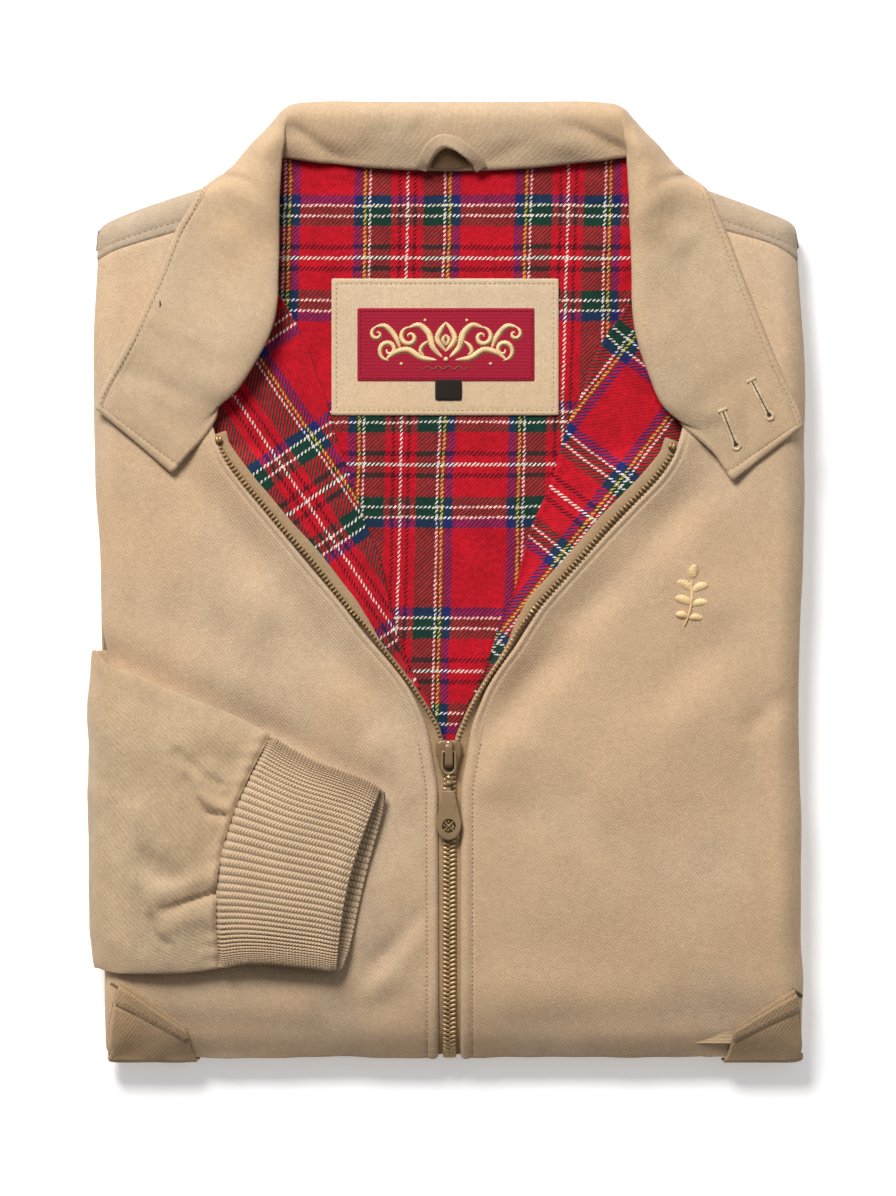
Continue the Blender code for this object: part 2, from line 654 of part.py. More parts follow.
BACK_COLLAR_X = (-68.0, -36.0)
TURN_LEFT_SHIFT = 7.6      # the left shoulder turns a little further out


def leaf_section(outer_x, outer_y, roll_x, roll_y, seam_x, seam_y, curl):
    """Six control points across the collar where its leaf lies on the front."""
    outer = np.array([outer_x, outer_y])
    fold = np.array([roll_x, roll_y])
    seam = np.array([seam_x, seam_y])
    away = (outer - fold) / np.linalg.norm(outer - fold)
    flat_lift = COLLAR_WALL / 2 + SEAM_GAP + 0.2
    shares = (0.0, 0.35, 0.62, 0.82, 0.93, 1.0)
    flap = [np.append(mix(outer, fold, share), flat_lift) for share in shares]
    rolled = [np.append(outer, flat_lift), np.append(mix(outer, fold, 0.5), flat_lift + 2.2),
              np.append(fold + away * 9.0, 9.0), np.append(fold, 5.4),
              np.append(mix(fold, seam, 0.5), 1.2), np.append(seam, -0.2)]
    result = []
    for plain, turned in zip(flap, rolled):
        point = mix(plain, turned, curl)
        result.append((point[0], point[1], body_top(point[0], point[1]) + point[2]))
    return result


def back_section(x):
    seam_y = look_up(NECK_SEAM, x)
    return [(x, 206.0, 1.4), (x, 240.0, 3.0), (x, 251.6, 14.0), (x, 246.5, 27.0),
            (x, 234.0, 27.4), (x, seam_y + 1.6, 22.4)]


def collar_sections():
    right = [leaf_section(*row) for row in LEAF_RIGHT] + TURN_ROWS
    right += [back_section(x) for x in BACK_COLLAR_X]
    left = [leaf_section(*row) for row in LEAF_LEFT]
    for row in TURN_ROWS:
        left.append([(TURN_LEFT_SHIFT - x, y, z) for x, y, z in row])
    left += [back_section(TURN_LEFT_SHIFT - x) for x in BACK_COLLAR_X]
    return right + [back_section(TURN_LEFT_SHIFT / 2)] + list(reversed(left))


def collar_grid(across, along):
    sections = [curve_through(section, across) for section in collar_sections()]
    columns = [curve_through([section[index] for section in sections], along)
               for index in range(across)]
    return np.array(columns).transpose(1, 0, 2)


def build_collar():
    half = COLLAR_WALL / 2
    cloth_piece("collar", collar_grid(12, 47), half, -half, KHAKI)


# ---------------------------------------------------------------- sleeve and cuff


SLEEVE_ROWS = [  # top x, y; bottom x, y; bow towards the shoulder; thickness
    (-92.5, -80.5, -119.5, -203.3, 12.0, 11.5),
    (-103.5, -74.0, -128.5, -204.8, 10.0, 11.0),
    (-117.0, -68.0, -139.0, -205.6, 7.0, 12.0),
    (-135.0, -61.0, -151.0, -206.0, 4.0, 12.0),
    (-152.0, -54.0, -161.0, -206.2, 2.0, 10.5),
    (-165.0, -48.0, -168.5, -206.2, 0.0, 9.0)]
SLEEVE_WRAP_ANGLES = (22.0, 44.0, 62.0)
SLEEVE_END = [  # how the sleeve goes in at the side: inner out, z; outer out, z
    (0.6, 18.6, 7.4, 17.0), (-1.6, 16.4, 4.8, 11.6), (-6.5, 15.8, -1.0, 10.6)]
CUFF_ROWS = [  # top x, y; bottom x, y; bow; thickness
    (-90.8, -80.6, -118.4, -203.2, 12.0, 12.5),
    (-82.6, -87.5, -108.0, -200.8, 10.5, 13.5),
    (-69.5, -94.5, -96.0, -200.2, 9.0, 14.0),
    (-55.8, -99.4, -82.0, -201.4, 8.0, 14.0),
    (-44.5, -103.6, -69.0, -203.0, 6.5, 13.5),
    (-35.0, -108.5, -58.5, -205.0, 5.0, 13.0)]
LOWER_LAYER_REACH = 8.0    # the cuff's lower layer shows past the upper one
RING_POINTS = 20


def flat_ring(top, bottom, bow, thickness, wall, height_at, reach=0.0):
    """Outer and inner rings of a flattened tube that lies on the front."""
    top = np.array(top)
    bottom = np.array(bottom)
    length = np.linalg.norm(top - bottom)
    outer = []
    inner = []
    for skin, ring in ((0.0, outer), (wall, inner)):
        half = 0.5 - skin / length
        tall = thickness / 2 - skin
        for index in range(RING_POINTS):
            angle = 2 * math.pi * index / RING_POINTS
            across = 0.5 + half * math.cos(angle)
            rise = math.copysign(abs(math.sin(angle)) ** 0.75, math.sin(angle))
            plan = mix(bottom, top, across)
            x = plan[0] - bow * math.sin(math.pi * across) - min(0.0, rise) * reach
            ring.append((x, plan[1], height_at(x, plan[1]) + thickness / 2 + tall * rise))
    return outer, inner


def resting_height(x, y):
    return body_top(x, y) + 0.6


def wrap_point(plan_y, angle, outward):
    edge = look_up(LEFT_EDGE, plan_y)
    start = edge + SIDE_ROLL
    swing = math.radians(angle)
    tall = body_top(start, plan_y) + 0.6 - EDGE_HEIGHT
    x = start - (SIDE_ROLL + 0.6 + outward) * math.sin(swing)
    z = EDGE_HEIGHT + (tall + outward) * math.cos(swing)
    return (x, plan_y, z)


def build_sleeve():
    outer_rings = []
    inner_rings = []
    for top_x, top_y, bottom_x, bottom_y, bow, thickness in SLEEVE_ROWS:
        outer, inner = flat_ring((top_x, top_y), (bottom_x, bottom_y), bow, thickness, SHELL, resting_height)
        outer_rings.append(outer)
        inner_rings.append(inner)
    steps = len(SLEEVE_WRAP_ANGLES) + len(SLEEVE_END)
    for step in range(steps):
        thickness = 6.4
        top_y = mix(-45.0, -36.5, min(1.0, step / 2.0))
        bottom_y = mix(-206.0, -204.0, min(1.0, step / 2.0))
        for skin, rings in ((0.0, outer_rings), (SHELL, inner_rings)):
            ring = []
            length = top_y - bottom_y
            half = 0.5 - skin / length
            for index in range(RING_POINTS):
                angle = 2 * math.pi * index / RING_POINTS
                across = 0.5 + half * math.cos(angle)
                rise = math.copysign(abs(math.sin(angle)) ** 0.75, math.sin(angle))
                y = mix(bottom_y, top_y, across)
                if step < len(SLEEVE_WRAP_ANGLES):
                    outward = thickness / 2 + (thickness / 2 - skin) * rise
                    ring.append(wrap_point(y, SLEEVE_WRAP_ANGLES[step], outward))
                else:
                    in_out, in_z, out_out, out_z = SLEEVE_END[step - len(SLEEVE_WRAP_ANGLES)]
                    inner_end = np.array([look_up(LEFT_EDGE, y) - in_out, in_z])
                    outer_end = np.array([look_up(LEFT_EDGE, y) - out_out, out_z])
                    across_wall = np.linalg.norm(outer_end - inner_end)
                    share = 0.5 + (0.5 - skin / across_wall) * rise
                    place = mix(inner_end, outer_end, share)
                    ring.append((place[0], y, place[1]))
            rings.append(ring)
    finish_object("sleeve_right", tube_bmesh(outer_rings, inner_rings), KHAKI)


CUFF_WALL = 2.6


def build_cuff():
    outer_rings = []
    inner_rings = []
    count = len(CUFF_ROWS)
    for index, (top_x, top_y, bottom_x, bottom_y, bow, thickness) in enumerate(CUFF_ROWS):
        reach = LOWER_LAYER_REACH * (index / (count - 1)) ** 2
        outer, inner = flat_ring((top_x + 0.8, top_y), (bottom_x + 0.8, bottom_y), bow, thickness,
                                 CUFF_WALL, resting_height, reach)
        outer_rings.append(outer)
        inner_rings.append(inner)
    finish_object("cuff_right", tube_bmesh(outer_rings, inner_rings), RIB)


# ---------------------------------------------------------------- zip


def ribbon(path, half_left, half_right):
    """Pairs of points on both sides of a path over the body surface."""
    rows = []
    for index, (x, y) in enumerate(path):
        before = np.array(path[max(index - 1, 0)])
        after = np.array(path[min(index + 1, len(path) - 1)])
        direction = after - before
        direction = direction / np.linalg.norm(direction)
        sideways = np.array([direction[1], -direction[0]])
        row = []
        for offset in (-half_left, half_right):
            place = np.array([x, y]) + sideways * offset
            row.append(body_at(place[0], place[1]))
        rows.append(row)
    return rows


def closed_zip_rows(top_y):
    rows = [under_y(y) for y in (UNDER_HEM_Y - 1.0, -60.0, -150.0)]
    arc = math.pi * BOTTOM_ROLL
    rows += [BOTTOM_Y + BOTTOM_ROLL - arc * share for share in (1.0, 0.83, 0.66, 0.5, 0.34, 0.17, 0.0)]
    rows += spread(-205.0, top_y, 4)
    return rows


def build_zip():
    tape_out = -SHELL - SEAM_GAP
    tape_in = tape_out - TAPE
    teeth_in = tape_out + SEAM_GAP
    teeth_out = 0.5
    for name, side, table, edge_x in (("right", -1, RIGHT_TEETH, -8.4), ("left", 1, LEFT_TEETH, 11.0)):
        middle = ZIP_X + side * 0.2
        centre = (middle + edge_x) / 2
        half = abs(edge_x - middle) / 2
        closed = ribbon([(centre, y) for y in closed_zip_rows(-112.0)], half, half)
        start = table[1:]
        opened = ribbon(start, 3.6, 4.8) if side > 0 else ribbon(start, 4.8, 3.6)
        cloth_piece("zip_tape_" + name, closed + opened, tape_out, tape_in, KHAKI)
        open_row = ribbon(table[1:-1], 1.5, 1.5)
        cloth_piece("zip_teeth_" + name, open_row, teeth_out, teeth_in, BRASS)
        last_stretch = (np.array(table[-2]), np.array(table[-1]))
        stop = ribbon([mix(*last_stretch, share) for share in (0.25, 0.8)], 1.7, 1.7)
        cloth_piece("top_stop_" + name, stop, teeth_out + 0.3, teeth_in, BRASS)
    chain_rows = closed_zip_rows(-101.5)
    chain = ribbon([(ZIP_X, y) for y in chain_rows], CHAIN_WIDTH / 2, CHAIN_WIDTH / 2)
    fold_middle = BOTTOM_Y + BOTTOM_ROLL - math.pi * BOTTOM_ROLL / 2
    lifts = [mix(-0.4, teeth_out, smooth_step((y - fold_middle + 20.0) / 20.0)) for y in chain_rows]
    cloth_piece("zip_chain", chain, lifts, teeth_in, BRASS)


# ---------------------------------------------------------------- slider and pull


PULL_X = 0.9
BRIDGE_Y = -89.4           # the link's upper bar
LINK_BAR_Y = -106.0        # the link's lower bar
WIRE = 1.5
PLATE_BASE = 33.9
PLATE_TOP = 35.2
PIVOT_Z = PLATE_TOP + 0.35 + WIRE / 2
SLIDER_OUTLINE = [  # y, half width
    (-83.4, 4.6), (-84.6, 6.4), (-88.0, 6.9), (-91.5, 6.5), (-95.0, 5.3), (-98.0, 4.9),
    (-99.8, 3.9), (-100.6, 2.0)]


def prism(outline, low, high):
    """A solid with a flat outline (x, y) between two heights."""
    return loft_bmesh([[(x, y, low) for x, y in outline], [(x, y, high) for x, y in outline]])


def build_slider():
    """Upper plate with a lengthwise bridge that holds the link."""
    right_side = [(PULL_X - half, y) for y, half in SLIDER_OUTLINE]
    left_side = [(PULL_X + half, y) for y, half in reversed(SLIDER_OUTLINE)]
    plate = finish_object("slider", prism(right_side + left_side, PLATE_BASE, PLATE_TOP), PAINTED)
    inner_z = PIVOT_Z + WIRE / 2 + 0.4
    outer_z = inner_z + 1.2
    profile = [(-98.2, PLATE_TOP - 0.5), (-98.2, outer_z - 1.6), (-95.8, outer_z), (-87.4, outer_z),
               (-85.0, outer_z - 1.6), (-85.0, PLATE_TOP - 0.5), (-87.0, PLATE_TOP - 0.5),
               (-87.0, inner_z - 0.8), (-87.9, inner_z), (-95.2, inner_z), (-96.2, inner_z - 0.8),
               (-96.2, PLATE_TOP - 0.5)]
    rings = [[(x, y, z) for y, z in profile] for x in (PULL_X - 2.2, PULL_X + 2.2)]
    bridge = finish_object("slider_bridge_cutter", loft_bmesh(rings), PAINTED)
    bridge.hide_render = True
    bridge.display_type = "WIRE"
    joined = plate.modifiers.new("bridge", "BOOLEAN")
    joined.operation = "UNION"
    joined.object = bridge


def build_pull_link():
    """A long ring of wire, hinged on the slider's bridge."""
    reach = BRIDGE_Y - LINK_BAR_Y
    half_width = 4.15 - WIRE / 2
    corner = 1.4
    centres = []
    for cx, cy, first in ((half_width - corner, -corner, 0.0), (corner - half_width, -corner, 90.0),
                          (corner - half_width, corner - reach, 180.0), (half_width - corner, corner - reach, 270.0)):
        for step in range(4):
            angle = math.radians(first + step * 30.0)
            centres.append((cx + corner * math.cos(angle), cy + corner * math.sin(angle)))
    bm = bmesh.new()
    rings = []
    count = len(centres)
    for index, (x, y) in enumerate(centres):
        before = centres[index - 1]
        after = centres[(index + 1) % count]
        direction = np.array([after[0] - before[0], after[1] - before[1]])
        direction = direction / np.linalg.norm(direction)
        normal = np.array([direction[1], -direction[0]])
        ring = []
        for side in range(8):
            angle = 2 * math.pi * side / 8
            out = WIRE / 2 * math.cos(angle)
            ring.append(bm.verts.new((PULL_X + x + normal[0] * out, BRIDGE_Y + y + normal[1] * out,
                                      PIVOT_Z + WIRE / 2 * math.sin(angle))))
        rings.append(ring)
    for index in range(count):
        lower, upper = rings[index], rings[(index + 1) % count]
        for side in range(8):
            follow = (side + 1) % 8
            bm.faces.new([lower[side], lower[follow], upper[follow], upper[side]])
    finish_object("pull_link", bm, PAINTED, origin=(PULL_X, BRIDGE_Y, PIVOT_Z))


TAB_OUTLINE = [  # distance below the pivot, half width
    (2.4, 3.1), (5.0, 3.1), (7.0, 3.5), (10.5, 4.2), (16.0, 5.6), (20.5, 6.6), (24.0, 6.4),
    (27.0, 5.2), (29.0, 3.2), (29.9, 1.2)]
KNUCKLE_RADIUS = 1.95
BORE_RADIUS = 1.12
TAB_HALF = 0.85


def build_pull_tab():
    """The flat tab, its knuckle round the link's lower bar, with a pierced roundel."""
    pivot = (PULL_X, LINK_BAR_Y, PIVOT_Z)
    right_side = [(PULL_X - half, LINK_BAR_Y - down) for down, half in TAB_OUTLINE]
    left_side = [(PULL_X + half, LINK_BAR_Y - down) for down, half in reversed(TAB_OUTLINE)]
    tab = finish_object("pull_tab", prism(right_side + left_side, PIVOT_Z - TAB_HALF, PIVOT_Z + TAB_HALF),
                        PAINTED, origin=pivot)

    def turned(name, radius, half_length, operation):
        rings = []
        for x in (-half_length, half_length):
            rings.append([(PULL_X + x, LINK_BAR_Y + radius * math.cos(math.radians(a)),
                           PIVOT_Z + radius * math.sin(math.radians(a))) for a in range(0, 360, 24)])
        made = finish_object(name, loft_bmesh(rings), PAINTED)
        made.hide_render = True
        made.display_type = "WIRE"
        step = tab.modifiers.new(name, "BOOLEAN")
        step.operation = operation
        step.object = made

    neck = finish_object("tab_neck_cutter", prism([(PULL_X - 2.2, LINK_BAR_Y - 4.0), (PULL_X - 2.2, LINK_BAR_Y - 1.2),
                                                   (PULL_X + 2.2, LINK_BAR_Y - 1.2), (PULL_X + 2.2, LINK_BAR_Y - 4.0)],
                                                  PIVOT_Z - 0.8, PIVOT_Z + 0.8), PAINTED)
    neck.hide_render = True
    neck.display_type = "WIRE"
    joined = tab.modifiers.new("neck", "BOOLEAN")
    joined.operation = "UNION"
    joined.object = neck
    turned("tab_knuckle_cutter", KNUCKLE_RADIUS, 2.2, "UNION")
    turned("tab_bore_cutter", BORE_RADIUS, 4.0, "DIFFERENCE")


# ---------------------------------------------------------------- pocket welts


WELT_LIFT = 1.1
WELT_WALL = 2.2


def welt_grid(side):
    """A welt from the side seam down to the bottom fold, wrapped round it."""
    corner_x = -177.5 if side < 0 else 184.5
    inner_top = (-139.0, -239.0) if side < 0 else (151.0, -239.0)
    rows = []
    for share in spread(0.0, 1.0, 6):
        top_x = mix(corner_x, inner_top[0], share)
        top_y = mix(-214.5, inner_top[1], share)
        low_x = mix(corner_x - side * -2.0, inner_top[0] - side * 6.5, share)
        column = []
        for down in spread(0.0, 1.0, 7):
            bottom_y = BOTTOM_Y + BOTTOM_ROLL - math.pi * BOTTOM_ROLL * 0.62
            column.append(body_at(mix(top_x, low_x, down), mix(top_y, bottom_y, down)))
        rows.append(column)
    return rows


def build_welts():
    cloth_piece("pocket_welt_right", welt_grid(-1), WELT_LIFT + WELT_WALL, WELT_LIFT, KHAKI, flip=False)
    cloth_piece("pocket_welt_left", welt_grid(1), WELT_LIFT + WELT_WALL, WELT_LIFT, KHAKI, flip=True)


# ---------------------------------------------------------------- labels, loop and motif


def lining_patch(name, x_range, y_range, base, wall, finish, columns=5, rows=4):
    """A flat sewn piece that lies on the back lining."""
    grid = []
    for y in spread(y_range[0], y_range[1], rows):
        grid.append([(x, y, look_up(LINING_HEIGHT, y) + base) for x in spread(x_range[0], x_range[1], columns)])
    cloth_piece(name, grid, wall, 0.0, finish)


def build_labels():
    lining_patch("neck_patch", (-60.0, 57.9), (88.6, 158.4), 0.45, 1.0, KHAKI)
    lining_patch("woven_label", (-47.0, 45.5), (105.0, 142.8), 1.85, 0.5, LABEL_RED)
    lining_patch("size_tab", (-5.3, 6.8), (96.3, 104.6), 1.85, 0.5, TAB_BLACK, 3, 3)


def build_hanger_loop():
    """A strap arched over the inside of the collar."""
    path = [(-13.5, 219.5, 25.2), (-11.0, 225.0, 30.0), (-5.0, 230.5, 33.8), (3.0, 232.6, 34.6),
            (11.0, 230.0, 33.8), (16.5, 225.0, 30.0), (19.5, 219.8, 25.2)]
    centre = curve_through(path, 13)
    grid = []
    for index, point in enumerate(centre):
        ahead = centre[min(index + 1, 12)] - centre[max(index - 1, 0)]
        sideways = np.array([ahead[1], -ahead[0], 0.0])
        sideways = sideways / np.linalg.norm(sideways)
        grid.append([point - sideways * 2.8, point + sideways * 2.8])
    cloth_piece("hanger_loop", grid, 1.6, 0.2, KHAKI)


def build_chest_motif():
    """The ground of the embroidery on the left front: a slim leaf shape."""
    centre = (128.2, -8.7)
    rings = []
    for radius in (0.0, 0.5, 1.0):
        ring = []
        for index in range(16):
            angle = 2 * math.pi * index / 16
            x = centre[0] + 8.6 * radius * math.cos(angle) + 1.5 * radius * math.sin(angle)
            y = centre[1] + 13.8 * radius * math.sin(angle)
            ring.append((x, y, body_top(x, y) + 0.3))
        rings.append(ring)
    bm = bmesh.new()
    for_top = [bm.verts.new((x, y, z + 0.7)) for x, y, z in rings[2]]
    for_low = [bm.verts.new(point) for point in rings[2]]
    bm.faces.new(for_top)
    bm.faces.new(list(reversed(for_low)))
    for index in range(16):
        follow = (index + 1) % 16
        bm.faces.new([for_top[follow], for_top[index], for_low[index], for_low[follow]])
    finish_object("chest_motif", bm, GOLD_THREAD)


build_fronts()
build_back()
build_waistband()
build_lining_back()
build_lining_fronts()
build_folded_layers()
build_collar()
build_sleeve()
build_cuff()
build_zip()
build_slider()
build_pull_link()
build_pull_tab()
build_welts()
build_labels()
build_hanger_loop()
build_chest_motif()
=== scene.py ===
"""The looks of the folded harrington jacket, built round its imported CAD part.

Every size in a table is in millimetres, in the frame of the CAD part: z = 0 is the surface it
lies on, +Y is the collar, +X the wearer's left. add_piece() turns millimetres into metres.
Cloth is a closed thin wall over a shared body surface, body_at(), with its creases on top.
"""

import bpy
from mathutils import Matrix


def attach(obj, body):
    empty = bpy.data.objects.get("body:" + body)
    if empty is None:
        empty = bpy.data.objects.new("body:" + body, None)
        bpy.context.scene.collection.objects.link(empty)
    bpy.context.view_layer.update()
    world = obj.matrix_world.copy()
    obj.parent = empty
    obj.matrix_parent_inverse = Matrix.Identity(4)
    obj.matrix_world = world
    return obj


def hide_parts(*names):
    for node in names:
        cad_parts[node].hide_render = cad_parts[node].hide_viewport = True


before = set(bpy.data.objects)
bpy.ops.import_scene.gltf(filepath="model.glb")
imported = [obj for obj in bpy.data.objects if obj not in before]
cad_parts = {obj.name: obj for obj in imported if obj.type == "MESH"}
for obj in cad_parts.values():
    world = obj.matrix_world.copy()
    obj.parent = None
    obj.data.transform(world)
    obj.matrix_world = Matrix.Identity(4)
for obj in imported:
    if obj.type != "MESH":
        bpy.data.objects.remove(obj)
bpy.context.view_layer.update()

import math
import random

import bpy
import numpy as np
from mathutils import Vector

MM = 0.001
UP = np.array([0.0, 0.0, 1.0])
scene = bpy.context.scene

# ---------------------------------------------------------------- sizes shared with the CAD, mm
BOTTOM_Y = -251.5
BODY_TOP = 31.5
BODY_CROWN = 1.5
SHOULDER_DROP = 7.0
EDGE_HEIGHT = 13.5
SIDE_ROLL = 14.0
BOTTOM_ROLL = 15.0
TOP_ROLL = 11.0
CORNER_POWER = 6.0
TOP_SIDE_ANGLE = 65.0
LOW_SIDE_ANGLE = 68.0
BACK_RISE = 3.4
SHELL = 1.6
LINING = 1.2
TAPE = 0.7
BAND_WALL = 1.4
SEAM_GAP = 0.3
ZIP_X = 1.3
UNDER_HEM_Y = 20.0
UNDER_BACK_Y = 85.0
LOW_START = BOTTOM_Y + BOTTOM_ROLL

LEFT_EDGE = [
    (-251.5, -180.5), (-240.0, -181.0), (-205.0, -181.6), (-120.0, -182.0), (-33.7, -182.9),
    (5.3, -183.7), (45.3, -186.3), (116.3, -187.9), (167.9, -185.8), (186.0, -184.6)]
RIGHT_EDGE = [
    (-251.5, 188.4), (-226.8, 188.6), (-210.0, 189.2), (-186.3, 187.8), (-104.7, 187.6),
    (-28.4, 186.8), (38.4, 188.9), (115.8, 189.4), (169.5, 186.3), (187.4, 184.6)]
SHOULDER_LINE = [
    (-190.0, 184.5), (-184.2, 187.0), (-163.7, 195.5), (-128.4, 207.3), (-86.0, 221.0),
    (0.0, 223.0), (92.0, 221.0), (134.6, 207.0), (165.0, 196.0), (184.2, 188.5), (190.0, 186.0)]
SHOULDER_SEAM = [
    (-190.0, 168.5), (-170.0, 176.3), (-142.6, 184.5), (-90.0, 200.0), (90.0, 200.0),
    (145.3, 185.3), (171.0, 177.9), (190.0, 168.0)]
RIGHT_FRONT_EDGE = [
    (-400.0, -4.9), (-112.6, -4.9), (-95.8, -7.1), (-85.8, -8.9), (-77.4, -11.1),
    (-69.5, -14.0), (-57.1, -20.0), (-45.5, -28.4), (-26.8, -44.5), (-12.1, -55.6),
    (7.4, -72.3), (24.2, -85.9), (40.0, -99.0), (51.1, -107.8), (62.0, -116.0), (74.2, -121.5),
    (86.0, -124.5), (110.0, -124.0), (150.0, -112.0), (185.0, -104.0), (205.0, -100.0)]
LEFT_FRONT_EDGE = [
    (-400.0, 7.5), (-112.0, 7.5), (-96.0, 9.8), (-83.7, 12.0), (-75.7, 13.8),
    (-66.3, 17.2), (-56.8, 21.2), (-46.1, 27.6), (-35.3, 35.6), (-23.4, 43.2), (-14.2, 49.2),
    (2.1, 63.4), (18.4, 78.1), (38.4, 96.9), (54.2, 112.0), (64.0, 118.6), (72.0, 121.8),
    (84.0, 125.0), (110.0, 125.0), (150.0, 118.0), (185.0, 111.0), (205.0, 107.0)]
RIGHT_TEETH = [
    (-0.5, -90.0), (-4.7, -76.8), (-7.4, -71.6), (-13.7, -61.1), (-18.9, -53.2), (-30.0, -38.9),
    (-41.1, -25.4), (-54.7, -10.0), (-71.1, 11.1), (-85.8, 27.4), (-98.4, 42.6), (-107.4, 53.2),
    (-118.4, 68.4), (-121.0, 75.5)]
LEFT_TEETH = [
    (3.1, -90.0), (5.7, -80.5), (8.7, -73.4), (12.1, -65.8), (17.4, -56.3), (23.4, -47.0),
    (28.6, -39.4), (35.1, -28.4), (40.5, -20.9), (47.9, -11.6), (56.1, -2.6), (70.3, 13.0),
    (77.1, 21.1), (85.3, 30.8), (95.8, 41.3), (104.5, 50.1), (110.5, 56.8), (116.8, 65.0),
    (119.4, 72.0)]
LINING_EDGE_RIGHT = [
    (-81.0, -3.0), (-70.0, -7.5), (-55.3, -15.5), (-35.3, -23.7), (-15.3, -29.5),
    (11.6, -36.0), (30.5, -43.5), (56.3, -52.0), (80.0, -60.5), (95.3, -64.5),
    (132.1, -78.4), (149.5, -88.0), (156.0, -93.0)]
LINING_EDGE_LEFT = [
    (-81.0, 6.0), (-70.0, 9.5), (-48.4, 20.0), (-23.2, 28.0), (-5.8, 35.3),
    (25.3, 43.8), (52.1, 55.3), (83.2, 64.5), (96.0, 70.5), (120.0, 79.0),
    (140.0, 92.0), (156.0, 101.0)]
LINING_HEIGHT = [
    (-90.0, 28.0), (-70.0, 27.2), (-40.0, 25.5), (20.0, 23.0), (80.0, 21.0),
    (140.0, 19.6), (185.0, 18.6), (205.0, 18.9), (224.0, 19.2)]
NECK_SEAM = [
    (-88.4, 222.5), (-74.7, 221.0), (-55.8, 218.3), (-28.9, 216.4), (3.0, 215.4),
    (36.3, 216.4), (63.7, 219.0), (83.7, 221.4), (96.3, 222.8)]
COLLAR_WALL = 2.4
LEAF_RIGHT = [  # outer x, y; roll x, y; seam x, y; curl
    (-183.2, 90.5, -144.7, 57.9, -144.7, 57.9, 0.0),
    (-181.8, 97.0, -136.5, 67.5, -136.5, 67.5, 0.0),
    (-176.5, 108.0, -127.5, 77.5, -127.5, 77.5, 0.1),
    (-169.5, 121.0, -118.5, 88.5, -121.5, 91.0, 0.6),
    (-163.0, 134.0, -109.5, 101.5, -120.5, 104.0, 0.95),
    (-157.4, 146.5, -101.0, 115.5, -119.0, 117.0, 1.0),
    (-151.5, 160.0, -94.0, 130.0, -114.5, 131.0, 1.0),
    (-146.5, 173.0, -90.3, 145.0, -110.5, 146.0, 1.0),
    (-141.5, 185.0, -89.5, 161.0, -107.0, 161.0, 1.0),
    (-135.4, 195.0, -89.3, 178.0, -103.5, 177.0, 1.0)]
LEAF_LEFT = [
    (185.8, 81.5, 150.5, 53.7, 150.5, 53.7, 0.0),
    (184.5, 88.0, 141.5, 67.0, 141.5, 67.0, 0.0),
    (179.5, 98.5, 132.0, 76.0, 132.0, 76.0, 0.1),
    (173.5, 112.0, 120.5, 82.0, 123.0, 87.0, 0.6),
    (167.0, 128.0, 113.0, 93.0, 122.5, 100.0, 0.95),
    (161.5, 142.0, 106.5, 109.0, 121.0, 113.0, 1.0),
    (155.5, 157.5, 101.0, 127.0, 119.0, 128.0, 1.0),
    (150.5, 171.0, 98.3, 143.0, 117.5, 144.0, 1.0),
    (145.3, 185.0, 97.7, 160.0, 114.5, 160.0, 1.0),
    (141.0, 194.5, 97.7, 178.0, 110.5, 177.0, 1.0)]
TURN_ROWS = [  # how the collar turns over the shoulder: outer, leaf, crest, roll, stand, seam
    ((-129.2, 204.6, 24.5), (-114.0, 204.0, 29.6), (-98.0, 196.0, 35.6), (-89.3, 192.0, 31.5),
     (-94.5, 191.5, 27.3), (-100.5, 191.0, 25.6)),
    ((-123.6, 210.4, 13.0), (-110.5, 211.0, 27.0), (-97.5, 205.5, 34.8), (-89.3, 202.5, 31.0),
     (-91.8, 203.0, 26.6), (-96.0, 203.0, 23.8)),
    ((-117.6, 214.0, 1.8), (-113.8, 215.8, 20.0), (-99.0, 213.0, 33.6), (-89.1, 210.0, 30.5),
     (-90.6, 211.0, 26.3), (-93.5, 211.0, 23.2)),
    ((-107.5, 210.0, 1.3), (-111.4, 219.6, 13.5), (-99.0, 220.5, 31.6), (-88.9, 217.0, 30.0),
     (-89.7, 217.0, 26.0), (-92.0, 217.5, 23.0)),
    ((-93.0, 210.0, 1.3), (-100.6, 231.0, 12.0), (-94.0, 231.5, 29.6), (-87.3, 231.0, 30.0),
     (-87.5, 227.0, 26.5), (-88.5, 223.5, 22.8)),
    ((-79.0, 210.0, 1.3), (-86.0, 240.0, 3.2), (-85.9, 247.9, 14.0), (-83.5, 245.5, 27.5),
     (-84.5, 235.0, 27.0), (-85.5, 223.8, 22.6))]
BACK_COLLAR_X = (-68.0, -36.0)
TURN_LEFT_SHIFT = 7.6
SLEEVE_ROWS = [  # top x, y; bottom x, y; bow towards the shoulder; thickness
    (-92.5, -80.5, -119.5, -203.3, 12.0, 11.5),
    (-103.5, -74.0, -128.5, -204.8, 10.0, 11.0),
    (-117.0, -68.0, -139.0, -205.6, 7.0, 12.0),
    (-135.0, -61.0, -151.0, -206.0, 4.0, 12.0),
    (-152.0, -54.0, -161.0, -206.2, 2.0, 10.5),
    (-165.0, -48.0, -168.5, -206.2, 0.0, 9.0)]
SLEEVE_WRAP_ANGLES = (22.0, 44.0, 62.0)
SLEEVE_END = [(0.6, 18.6, 7.4, 17.0), (-1.6, 16.4, 4.8, 11.6), (-6.5, 15.8, -1.0, 10.6)]
CUFF_ROWS = [
    (-90.8, -80.6, -118.4, -203.2, 12.0, 12.5),
    (-82.6, -87.5, -108.0, -200.8, 10.5, 13.5),
    (-69.5, -94.5, -96.0, -200.2, 9.0, 14.0),
    (-55.8, -99.4, -82.0, -201.4, 8.0, 14.0),
    (-44.5, -103.6, -69.0, -203.0, 6.5, 13.5),
    (-35.0, -108.5, -58.5, -205.0, 5.0, 13.0)]
CUFF_WALL = 2.6
